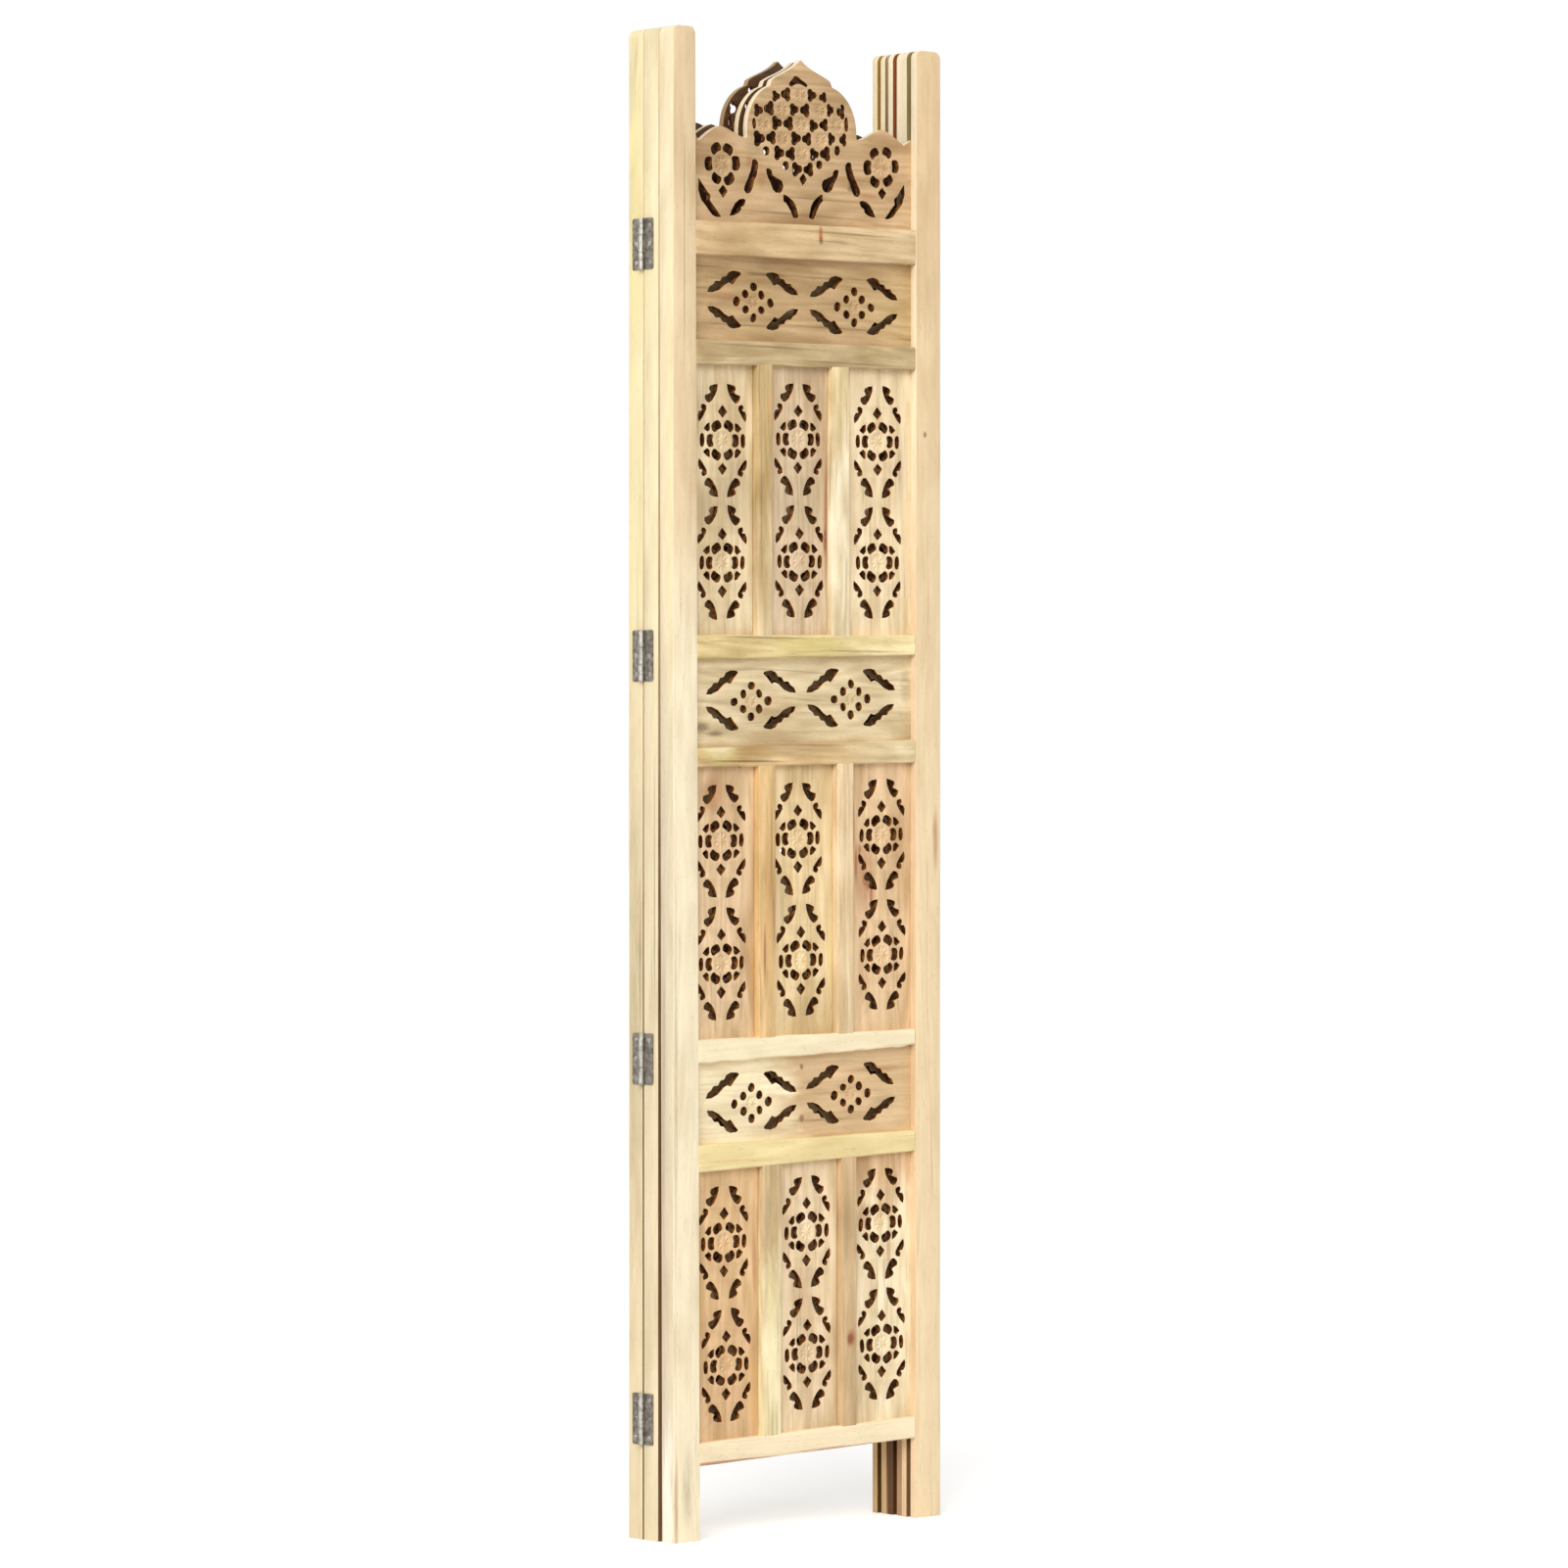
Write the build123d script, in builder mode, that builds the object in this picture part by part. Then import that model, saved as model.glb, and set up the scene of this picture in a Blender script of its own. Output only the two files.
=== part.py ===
import os
from math import cos, hypot, pi

from build123d import *

# A folding screen of three carved wooden panels, standing folded up in a Z.
# Millimetres. +X runs along a panel's width, +Y from the front panel to the rear one, +Z up.
# The origin is on the floor, under the middle of the folded stack.

# panels
panel_width = 400.0
panel_height = 1650.0
panel_thickness = 24.0
panel_gap = 1.0  # air between two folded panels

# posts
post_width = 36.0
post_top_radius = 9.0
groove_depth = 8.0
groove_play = 0.2  # a groove is this much wider than the board in it
tongue_play = 0.5  # and this much deeper than the board's tongue

# rails and the openings between them, from the floor up
foot_height = 85.0  # floor to the underside of the bottom rail
rail_height = 26.0
top_rail_height = 38.0
frieze_height = 92.0
crest_zone = 207.0  # top edge of the top rail to the top of the posts

# boards
board_thickness = 7.0
batten_width = 22.0

# crest board, heights from the top edge of the top rail
crest_height = 184.0
dome_half_width = 86.0
dome_spring = 100.0  # where the dome rises from the shoulders
shoulder_top = 108.0
shoulder_end = 93.0  # where a shoulder meets its post
shoulder_flower_height = 68.0

# pierced pattern
flower_radius = 18.5  # middle of a flower to the middle of its petal holes
petal_radius = 8.0
bead_radius = 6.0
leaf_rim = 12.0  # solid wood left along the long edges of a board
slat_end_margin = 19.0  # solid wood at each end of a slat
slat_waist = 6.0  # half the wood between a slat's two medallions
frieze_end_margin = 21.0
frieze_waist = 8.0

# hinges
hinge_height = 56.0
leaf_reach = 17.0  # barrel axis to the far edge of a leaf
leaf_thickness = 1.5
knuckle_radius = 3.0
knuckle_air = 0.25  # between the barrel and the face of the post
knuckle_play = 0.4  # between neighbouring knuckles, and between barrel and plate
pin_radius = 1.6
pin_clearance = 0.05
barrel_sides = 6
bottom_hinge_lift = 47.0  # underside of the bottom rail to the middle of the lowest hinge
top_hinge_lift = 9.5  # underside of the top rail to the middle of the highest hinge

# worked out from the values above
pitch = panel_thickness + panel_gap
opening = panel_width - 2 * post_width
groove_width = board_thickness + groove_play
tongue = groove_depth - tongue_play
top_rail_z = panel_height - crest_zone - top_rail_height
section = (top_rail_z - foot_height) / 3  # one field and one frieze with the rails under them
field_height = section - 2 * rail_height - frieze_height
slat_sight = (opening - 2 * batten_width) / 3
slat_pitch = slat_sight + batten_width

lower_rails = [foot_height + k * section for k in range(3)]
upper_rails = [low + rail_height + field_height for low in lower_rails]
field_middles = [low + rail_height + field_height / 2 for low in lower_rails]
frieze_middles = [low + rail_height + frieze_height / 2 for low in upper_rails]

os.makedirs("parts", exist_ok=True)


def place(name, piece, *spots):
    """Writes a node: copies of a piece that was made round the origin, each at its spot."""
    with BuildPart() as placed:
        with Locations(*spots):
            add(piece)
    placed.part.label = name
    export_step(placed.part, f"parts/{name}.step")


def bow(start, end, rise, flats):
    """Points of a bowed edge, cut in flats. A positive rise bows it to the right of its way."""
    along = (end[0] - start[0], end[1] - start[1])
    span = hypot(*along)
    points = []
    for step in range(flats + 1):
        t = step / flats
        out = 4 * rise * t * (1 - t) / span
        points.append((start[0] + t * along[0] + out * along[1], start[1] + t * along[1] - out * along[0]))
    return points


# a left post, its outer face at x = 0: rounded top corners, one groove down the inner face
corner_rise = -(1 - cos(pi / 4)) * post_top_radius
corner_start = panel_height - post_top_radius
with BuildPart() as left_post:
    with BuildSketch(Plane.XZ):
        Polygon(
            (0, 0),
            *bow((0, corner_start), (post_top_radius, panel_height), corner_rise, 3),
            *bow((post_width - post_top_radius, panel_height), (post_width, corner_start), corner_rise, 3),
            (post_width, 0),
            align=None,
        )
    extrude(amount=panel_thickness / 2, both=True)
    with BuildSketch(Plane.XY):
        with Locations((post_width - groove_depth / 2, 0)):
            Rectangle(groove_depth, groove_width)
    extrude(amount=panel_height, mode=Mode.SUBTRACT)


def rail(height, grooved_below=True):
    """A rail, its lower edge at z = 0: grooved for the boards, a stub tenon at each end."""
    with BuildPart() as body:
        with BuildSketch(Plane.YZ):
            with Locations((0, height / 2)):
                Rectangle(panel_thickness, height)
            with Locations((0, height - groove_depth / 2)):
                Rectangle(groove_width, groove_depth, mode=Mode.SUBTRACT)
            if grooved_below:
                with Locations((0, groove_depth / 2)):
                    Rectangle(groove_width, groove_depth, mode=Mode.SUBTRACT)
        extrude(amount=opening / 2, both=True)
        with BuildSketch(Plane.YZ):
            with Locations((0, height / 2)):
                Rectangle(groove_width, height - 2 * groove_depth)
        extrude(amount=opening / 2 + tongue, both=True)
    return body.part


# the two battens of a field, full thickness, standing between its rails
with BuildPart() as batten_pair:
    with BuildSketch(Plane.XZ):
        with GridLocations(slat_pitch, 1, 2, 1):
            Rectangle(batten_width, field_height)
    extrude(amount=panel_thickness / 2, both=True)

# a flower: six wedge-shaped petal holes round a solid rosette
with BuildSketch() as flower:
    with PolarLocations(flower_radius, 6):
        RegularPolygon(petal_radius, 3)

# a bead ring: four lozenge holes round a rosette, drawn out along the board
with BuildSketch() as bead_ring:
    with Locations((0, 1.2 * flower_radius), (0, -1.2 * flower_radius)):
        RegularPolygon(bead_radius, 4)
    with Locations((0.85 * flower_radius, 0), (-0.85 * flower_radius, 0)):
        RegularPolygon(bead_radius, 4)


def medallions(half_length, half_side, end_margin, waist, centre_holes):
    """The holes of two medallions, end to end along y, each framed by leaf-shaped cut-outs."""
    reach = (half_length - end_margin - waist) / 2  # half the length of a medallion
    side = half_side - leaf_rim
    middle = waist + reach
    foot = middle + 0.38 * reach  # where a leaf runs out at the board's rim
    with BuildSketch() as holes:
        with Locations((0, middle), (0, -middle)):
            add(centre_holes)
        for x in (side, -side):
            for y in (1, -1):
                tip = (0.2 * x, y * (middle + reach))
                back = (0.78 * x, y * (middle + 0.88 * reach))
                Polygon(tip, (x, y * foot), back, align=None)
            wing = 2 * middle - foot
            Polygon((0.2 * x, 0), (x, wing), (0.62 * x, 0), (x, -wing), align=None)
    return holes.sketch


slat_holes = medallions(field_height / 2, slat_sight / 2, slat_end_margin, slat_waist, flower.sketch)
frieze_holes = medallions(
    opening / 2, frieze_height / 2, frieze_end_margin, frieze_waist, bead_ring.sketch
)

# the three slats of a field: pierced upright boards, the outer two let into the posts
slat_height = field_height + 2 * tongue
with BuildPart() as slats:
    with BuildSketch(Plane.XZ):
        with GridLocations(slat_pitch, 1, 3, 1):
            Rectangle(slat_sight, slat_height)
        with GridLocations(opening + tongue, 1, 2, 1):
            Rectangle(tongue, slat_height)
        with GridLocations(slat_pitch, 1, 3, 1):
            add(slat_holes, mode=Mode.SUBTRACT)
    extrude(amount=board_thickness / 2, both=True)

# a frieze: one pierced board lying across the whole opening
with BuildPart() as frieze:
    with BuildSketch(Plane.XZ):
        Rectangle(opening + 2 * tongue, frieze_height + 2 * tongue)
        add(frieze_holes, rotation=90, mode=Mode.SUBTRACT)
    extrude(amount=board_thickness / 2, both=True)

# the crest: an ogee dome between two low shoulders, the top rail's upper edge at z = 0
edge = opening / 2
shoulder_x = (edge + dome_half_width) / 2
shoulder_flower_radius = (edge - dome_half_width) / 4
dome_rise = crest_height - dome_spring
cusp_x = 0.55 * dome_half_width
cusp_z = dome_spring + 0.67 * dome_rise
cusp_step = 0.05 * dome_rise
dome_flower_height = dome_spring + 0.16 * dome_rise
dome_ring_radius = 0.57 * dome_rise
half_outline = [
    (edge + tongue, -tongue),
    (edge + tongue, shoulder_end),
    *bow((edge, shoulder_end), (dome_half_width, dome_spring), shoulder_top - shoulder_end, 4),
    *bow((dome_half_width, dome_spring), (cusp_x, cusp_z), 0.14 * dome_half_width, 4)[1:],
    *bow((cusp_x - cusp_step / 2, cusp_z + cusp_step), (0, crest_height), -0.04 * dome_half_width, 3),
]
other_half = [(-x, z) for x, z in reversed(half_outline[:-1])]
with BuildPart() as crest:
    with BuildSketch(Plane.XZ):
        Polygon(*half_outline, *other_half, align=None)
        with Locations((0, dome_flower_height)):
            add(flower.sketch, mode=Mode.SUBTRACT)
            with PolarLocations(dome_ring_radius, 6, start_angle=30):
                RegularPolygon(petal_radius, 3, mode=Mode.SUBTRACT)
        for side in (1, -1):
            with Locations((side * shoulder_x, shoulder_flower_height)):
                with PolarLocations(shoulder_flower_radius, 4):
                    RegularPolygon(petal_radius, 3, mode=Mode.SUBTRACT)
            outer = side * (edge - leaf_rim)
            inner = side * dome_half_width
            for leaf in (
                ((outer, 0.46), (outer, 0.3), (side * shoulder_x, 0.08)),
                ((inner, 0.28), (0.88 * inner, 0.4), (0.75 * inner, 0.66)),
                ((0.09 * inner, 0.08), (0.36 * inner, 0.38), (0.3 * inner, 0.18)),
            ):
                Polygon(*[(x, z * dome_spring) for x, z in leaf], align=None, mode=Mode.SUBTRACT)
    extrude(amount=board_thickness / 2, both=True)

# hinges, in the place of those on the left: their barrels stand between middle and rear panel
barrel_x = -(panel_width / 2 + knuckle_air + knuckle_radius)
plate_x = -(panel_width + leaf_thickness) / 2
plate_start = knuckle_radius + knuckle_play
knuckle_length = (hinge_height - 2 * knuckle_play) / 3
knuckle_step = knuckle_length + knuckle_play
bore_radius = (pin_radius + pin_clearance) / cos(pi / barrel_sides)


def hinge_leaf(toward, knuckles):
    """A leaf that lies to the rear (toward 1) or to the front (-1), with its rolled knuckles."""
    with BuildPart() as body:
        with BuildSketch(Plane.XY.offset(-hinge_height / 2)):
            with Locations((plate_x, toward * (plate_start + leaf_reach) / 2)):
                Rectangle(leaf_thickness, leaf_reach - plate_start)
        extrude(amount=hinge_height)
        for step in knuckles:
            with BuildSketch(Plane.XY.offset(step * knuckle_step - knuckle_length / 2)):
                with Locations((plate_x, toward * plate_start / 2)):
                    Rectangle(leaf_thickness, plate_start)
                with Locations((barrel_x, 0)):
                    RegularPolygon(knuckle_radius, barrel_sides)
                    RegularPolygon(bore_radius, barrel_sides, mode=Mode.SUBTRACT)
            extrude(amount=knuckle_length)
    return body.part


with BuildPart() as hinge_pin:
    with BuildSketch(Plane.XY.offset(-hinge_height / 2)):
        with Locations((barrel_x, 0)):
            RegularPolygon(pin_radius, barrel_sides)
    extrude(amount=hinge_height)

# the three panels, 17 nodes each
plain_rail = rail(rail_height)
bottom_rail = rail(rail_height, grooved_below=False)
top_rail = rail(top_rail_height)
middle_rails = sorted(upper_rails + lower_rails[1:])  # rail 6 is the lowest, rail 2 the highest

for panel, y in (("front", -pitch), ("middle", 0), ("rear", pitch)):
    place(f"{panel}_left_post", left_post.part, (-panel_width / 2, y, 0))
    place(f"{panel}_right_post", left_post.part, Location((panel_width / 2, y, 0), (0, 0, 180)))
    place(f"{panel}_bottom_rail", bottom_rail, (0, y, lower_rails[0]))
    for number, z in zip((6, 5, 4, 3, 2), middle_rails):
        place(f"{panel}_rail_{number}", plain_rail, (0, y, z))
    place(f"{panel}_top_rail", top_rail, (0, y, top_rail_z))
    for level, slat_z, frieze_z in zip(("lower", "middle", "upper"), field_middles, frieze_middles):
        place(f"{panel}_{level}_slats", slats.part, (0, y, slat_z))
        place(f"{panel}_{level}_frieze", frieze.part, (0, y, frieze_z))
    place(f"{panel}_battens", batten_pair.part, *[(0, y, z) for z in field_middles])
    place(f"{panel}_crest", crest.part, (0, y, top_rail_z + top_rail_height))

# the hinges: four on each side, the right side turned half round from the left
hinge_heights = (
    lower_rails[0] + bottom_hinge_lift,
    lower_rails[1],
    lower_rails[2],
    top_rail_z + top_hinge_lift,
)
left_spots = [Location((0, pitch / 2, z)) for z in hinge_heights]
right_spots = [Location((0, -pitch / 2, z), (0, 0, 180)) for z in hinge_heights]
outer_knuckles = (-1, 1)
middle_knuckle = (0,)
place("left_hinge_leaves_middle", hinge_leaf(-1, outer_knuckles), *left_spots)
place("left_hinge_leaves_rear", hinge_leaf(1, middle_knuckle), *left_spots)
place("left_hinge_pins", hinge_pin.part, *left_spots)
place("right_hinge_leaves_middle", hinge_leaf(-1, outer_knuckles), *right_spots)
place("right_hinge_leaves_front", hinge_leaf(1, middle_knuckle), *right_spots)
place("right_hinge_pins", hinge_pin.part, *right_spots)
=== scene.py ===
import random
from math import cos, exp, pi, radians, sin

import bmesh
import bpy
from mathutils import Matrix, Vector, noise
from mathutils.geometry import interpolate_bezier
from mathutils.kdtree import KDTree


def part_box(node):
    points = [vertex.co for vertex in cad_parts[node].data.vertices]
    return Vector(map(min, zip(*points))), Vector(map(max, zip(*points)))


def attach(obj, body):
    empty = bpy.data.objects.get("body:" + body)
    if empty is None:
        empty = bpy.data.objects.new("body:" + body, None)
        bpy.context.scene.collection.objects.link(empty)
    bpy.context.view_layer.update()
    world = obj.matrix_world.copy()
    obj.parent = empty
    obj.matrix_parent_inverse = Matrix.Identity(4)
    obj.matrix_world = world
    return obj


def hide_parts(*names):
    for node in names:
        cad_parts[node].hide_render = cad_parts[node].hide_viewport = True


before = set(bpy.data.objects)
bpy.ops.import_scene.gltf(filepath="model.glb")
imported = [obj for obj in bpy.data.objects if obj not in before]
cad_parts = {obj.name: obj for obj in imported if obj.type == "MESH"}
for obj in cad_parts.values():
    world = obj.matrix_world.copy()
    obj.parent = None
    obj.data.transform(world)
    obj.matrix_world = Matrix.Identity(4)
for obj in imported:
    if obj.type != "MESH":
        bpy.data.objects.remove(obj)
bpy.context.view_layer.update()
mm = 0.001
weld = 0.01  # mm between points that are one
panels = ("front", "middle", "rear")
levels = ("upper", "middle", "lower")
print("frame loaded:", len(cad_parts), "nodes")


# small helpers

def linear(hexColour):
    channels = [int(hexColour[i:i + 2], 16) / 255 for i in (0, 2, 4)]
    return [c / 12.92 if c <= 0.04045 else ((c + 0.055) / 1.055) ** 2.4 for c in channels] + [1.0]


def addNode(tree, kind, settings=None, links=None):
    # settings are node properties or, where none has that name, input sockets
    node = tree.nodes.new(kind)
    for key, value in (settings or {}).items():
        if isinstance(key, str) and hasattr(node, key):
            setattr(node, key, value)
        else:
            node.inputs[key].default_value = value
    for key, source in (links or {}).items():
        tree.links.new(source, node.inputs[key])
    return node


def newMaterial(name):
    material = bpy.data.materials.new(name)
    material.use_nodes = True
    material.node_tree.nodes.clear()
    return material, material.node_tree


def toSurface(tree, shader, output="ShaderNodeOutputMaterial"):
    addNode(tree, output, {}, {"Surface": shader.outputs[0]})


def newObject(name, data):
    made = bpy.data.objects.new(name, data)
    bpy.context.scene.collection.objects.link(made)
    return made


def newPiece(name, bm, body, node, materials, sharpAngle=32):
    bmesh.ops.recalc_face_normals(bm, faces=bm.faces)
    mesh = bpy.data.meshes.new(name)
    bm.to_mesh(mesh)
    bm.free()
    for material in materials:
        mesh.materials.append(material)
    mesh.shade_smooth()
    mesh.set_sharp_from_angle(angle=radians(sharpAngle))
    piece = newObject(name, mesh)
    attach(piece, body)
    if node:
        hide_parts(node)
    return piece


def along(a, b, t):
    return a + (b - a) * t


def zSpan(node):
    low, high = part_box(node)
    return low.z / mm, high.z / mm


def middleAndHalf(node):
    low, high = zSpan(node)
    return (low + high) / 2, (high - low) / 2


# mango wood, sanded and thinly waxed: the grain shows, the surface hardly shines

woodLook = {
    # light, deep and stained wood, each times the timber's own colour
    "tone": ((1.22, 1.24, 1.32), (0.79, 0.75, 0.65), (0.6, 0.5, 0.36)),
    "stained": 0.75,
    "sway": (110, 7),  # mm: how long the waves in the grain are, and how far they stray
    "fibre": (2.2, 48),  # mm across and along; real fibres are finer, drawn coarse enough to show
    "figure": (34, 420),  # mm, the growth layers that the saw met, drawn as nested contours
    "ringCount": 9, "ringShow": 0.3, "fibreShow": 0.7,
    "blotch": (15, 60), "stain": (40, 150), "streak": (3.4, 130),  # mm
    "streakDark": 0.72, "poreDark": 0.84,
    # where each pattern starts to show and where it shows in full
    "bands": {"blotch": (0.32, 0.68), "stain": (0.5, 0.72), "streak": (0.64, 0.76), "pores": (0.6, 0.72)},
    "toneSpan": (0.35, 1.35, 0.3),  # from light to deep wood; the last widens it where contrast is low
    "turnRagged": 0.16,  # how uneven the edge is where one timber turns into another
    "pores": (1.2, 9),  # mm; real pores are 0.2 mm wide, drawn coarser so that they show
    "poreDepth": 0.15,  # mm
    "bump": 0.6, "ior": 1.47, "roughness": (0.48, 0.64),
    "seedStep": (7.3, 3.1, 5.7),  # moves each piece's grain to another place in the pattern
}
markLook = {  # colour, strength and raggedness of what grew in the wood, and of painted shade in the gaps between posts
    "knot": ("7a3c1c", 0.9, 0.5), "rust": ("a4552c", 0.8, 0.9), "streak": ("a86c40", 0.6, 1.5),
    "smudge": ("988560", 0.45, 1.6), "pale": ("f5e8c8", 0.6, 1.3), "amber": ("d9a763", 0.5, 1.5),
    "dark": ("5f4022", 0.75, 1.4), "yellow": ("f1e291", 0.5, 1.3), "line": ("75603c", 0.6, 0.8),
    # gapShade is painted shade: dark brown laid where the posts of the folded panels stand close together
    "bleached": ("fff6e2", 0.9, 0.8), "gapShade": ("5a3616", 0.95, 0.3),
}
markEdge = {"fade": (1.15, 0.45), "fibre": (0.36, 0.58), "knotRings": 13, "knotShade": 0.6}
madeWood = {}


def mangoWood(timber, axis, seed=0, contrast=1.0, marks=(), across="X"):
    # gives the eye pale, mottled wood with soft grain along the piece and a low sheen; timber is a colour,
    # or a colour and (a second one, where the wood starts to turn into it, where it has turned)
    timber, fade = timber if isinstance(timber, tuple) else (timber, None)
    key = f"mangoWood_{timber}_{axis}_{seed}"
    if key in madeWood:
        return madeWood[key]
    look = woodLook
    material, tree = newMaterial(key)
    place = addNode(tree, "ShaderNodeTexCoord").outputs["Object"]
    wave, stray = look["sway"]
    stepX, stepY, stepZ = look["seedStep"]
    bands = look["bands"]
    sway = addNode(tree, "ShaderNodeTexNoise", {"Scale": 1 / (wave * mm), "Detail": 1.0}, {"Vector": place})
    swayed = addNode(tree, "ShaderNodeVectorMath", {"operation": "MULTIPLY_ADD", 1: [stray * mm] * 3},
                     {0: sway.outputs["Color"], 2: place}).outputs[0]

    def grainField(size, shift, detail=2.0):
        scale = [1 / (size[0] * mm)] * 3
        scale["XYZ".index(axis)] = 1 / (size[1] * mm)
        start = (seed * stepX + shift, seed * stepY - shift, seed * stepZ)
        spread = addNode(tree, "ShaderNodeMapping", {"Scale": scale, "Location": start}, {"Vector": swayed})
        return addNode(tree, "ShaderNodeTexNoise", {"Scale": 1.0, "Detail": detail},
                       {"Vector": spread.outputs[0]}).outputs["Fac"]

    def band(value, low, high, toLow=0.0, toHigh=1.0):
        return addNode(tree, "ShaderNodeMapRange",
                       {"From Min": low, "From Max": high, "To Min": toLow, "To Max": toHigh},
                       {"Value": value}).outputs[0]

    def mathNode(operation, first, second, third=None):
        settings, links = {"operation": operation}, {}
        for place, value in enumerate((first, second, third)):
            if isinstance(value, (int, float)):
                settings[place] = value
            elif value is not None:
                links[place] = value
        return addNode(tree, "ShaderNodeMath", settings, links).outputs[0]

    def blend(share, first, second):
        settings, links = {"data_type": "RGBA"}, {0: share}
        for place, value in ((6, first), (7, second)):
            (settings if isinstance(value, list) else links)[place] = value
        return addNode(tree, "ShaderNodeMix", settings, links).outputs[2]

    blotch = grainField(look["blotch"], 0, 4.0)
    fibre = grainField(look["fibre"], 4)
    turns = mathNode("MULTIPLY", grainField(look["figure"], 9, 1.0), look["ringCount"] * 2 * pi)
    rings = mathNode("SINE", turns, 0)
    ringed = mathNode("MULTIPLY_ADD", rings, look["ringShow"], band(blotch, *bands["blotch"]))
    low, high, widen = look["toneSpan"]
    reach = 0.5 * min(1, contrast)
    share = band(mathNode("MULTIPLY_ADD", fibre, look["fibreShow"], ringed), low - widen / contrast,
                 high + widen / contrast, 0.5 - reach, 0.5 + reach)
    stained = band(grainField(look["stain"], 14, 3.0), *bands["stain"], 0, look["stained"] * contrast)
    wood = None
    for hexColour in (timber, fade[0]) if fade else (timber,):
        light, deep, stain = [[c * k for c, k in zip(linear(hexColour), factor)] + [1.0]
                              for factor in look["tone"]]
        tone = blend(stained, blend(share, light, deep), stain)
        if wood:  # the wood turns into the second timber from one place along the piece to another
            apart = addNode(tree, "ShaderNodeSeparateXYZ", {}, {0: place}).outputs["XYZ".index(axis)]
            ragged = mathNode("MULTIPLY_ADD", mathNode("SUBTRACT", blotch, 0.5), look["turnRagged"], apart)
            tone = blend(band(ragged, fade[1] * mm, fade[2] * mm), wood, tone)
        wood = tone
    for kind, x, z, halfWide, halfHigh in marks:
        colour, strength, ragged = markLook[kind]
        scale, shift = [0, 0, 1 / (halfHigh * mm)], [0, 0, -z / halfHigh]
        scale["XYZ".index(across)] = 1 / (halfWide * mm)
        shift["XYZ".index(across)] = -x / halfWide
        near = addNode(tree, "ShaderNodeMapping", {"Scale": scale, "Location": shift}, {"Vector": place})
        away = addNode(tree, "ShaderNodeVectorMath", {"operation": "LENGTH"}, {0: near.outputs[0]})
        uneven = mathNode("MULTIPLY_ADD", mathNode("ADD", blotch, fibre), ragged,
                          mathNode("SUBTRACT", away.outputs["Value"], ragged))
        part = mathNode("MULTIPLY", band(uneven, *markEdge["fade"], 0, strength),
                        band(fibre, *markEdge["fibre"], strength, 1))
        if kind == "knot":
            rounds = mathNode("SINE", mathNode("MULTIPLY", uneven, markEdge["knotRings"]), 0)
            part = mathNode("MULTIPLY", part, band(rounds, -1, 1, markEdge["knotShade"], 1))
        wood = blend(part, wood, linear(colour))
    streaks = band(grainField(look["streak"], 24, 1.0), *bands["streak"], 1,
                   1 - (1 - look["streakDark"]) * contrast)
    pores = band(grainField(look["pores"], 19), *bands["pores"], 1, look["poreDark"])
    for darkening in (streaks, pores):
        wood = addNode(tree, "ShaderNodeMix", {"data_type": "RGBA", "blend_type": "MULTIPLY", 0: 1.0},
                       {6: wood, 7: darkening}).outputs[2]
    bump = addNode(tree, "ShaderNodeBump", {"Strength": look["bump"], "Distance": look["poreDepth"] * mm},
                   {"Height": mathNode("MULTIPLY", fibre, pores)})
    shader = addNode(tree, "ShaderNodeBsdfPrincipled", {"IOR": look["ior"]},
                     {"Base Color": wood, "Roughness": band(fibre, 0, 1, *look["roughness"]),
                      "Normal": bump.outputs[0]})
    toSurface(tree, shader)
    madeWood[key] = material
    return material


def cloudTone(tree, size, detail, span, colours):
    # two colours in soft clouds; gives the share of the second one, and the tone
    place = addNode(tree, "ShaderNodeTexCoord").outputs["Object"]
    cloud = addNode(tree, "ShaderNodeTexNoise", {"Scale": 1 / (size * mm), "Detail": detail},
                    {"Vector": place})
    share = addNode(tree, "ShaderNodeMapRange", {"From Min": span[0], "From Max": span[1]},
                    {"Value": cloud.outputs["Fac"]}).outputs[0]
    tone = addNode(tree, "ShaderNodeMix",
                   {"data_type": "RGBA", 6: linear(colours[0]), 7: linear(colours[1])}, {0: share})
    return share, tone.outputs[2]


# the mottle is in mm; colours of the scorched and of the barer patches, both darker still as painted shade
# of the narrow holes
wallLook = {"mottle": 6, "span": (0.44, 0.74), "colours": ("4c260a", "a8682c"), "shine": 0.12,
            "roughness": 0.8}


def scorchedAndShadedWall():
    # the insides of the cut-outs: scorched brown by the saw, and darker still as painted shade inside the
    # narrow holes, so the pattern reads dark
    look = wallLook
    material, tree = newMaterial("scorchedAndShadedMangoWall")
    tone = cloudTone(tree, look["mottle"], 3.0, look["span"], look["colours"])[1]
    shader = addNode(tree, "ShaderNodeBsdfPrincipled",
                     {"Roughness": look["roughness"], "IOR": woodLook["ior"],
                      "Specular IOR Level": look["shine"]}, {"Base Color": tone})
    toSurface(tree, shader)
    return material


steelLook = {
    "mottle": 5,  # mm
    "span": (0.35, 0.65), "roughness": (0.3, 0.55),
    # the coat where it is clean and where it is worn
    "zincSteelPlate": ("a09a90", "736b60"), "zincSteelBarrel": ("dad7d0", "9c968b"),
    "zincSteelScrew": ("cfcabf", "857d70"),
}


def zincSteel(name):
    # pressed steel with a dulled zinc coat: a soft, cloudy grey shine
    look = steelLook
    material, tree = newMaterial(name)
    share, tone = cloudTone(tree, look["mottle"], 4.0, look["span"], look[name])
    smooth, rough = look["roughness"]
    dull = addNode(tree, "ShaderNodeMapRange", {"To Min": smooth, "To Max": rough}, {"Value": share})
    shader = addNode(tree, "ShaderNodeBsdfPrincipled", {"Metallic": 1.0},
                     {"Base Color": tone, "Roughness": dull.outputs[0]})
    toSurface(tree, shader)
    return material


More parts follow.
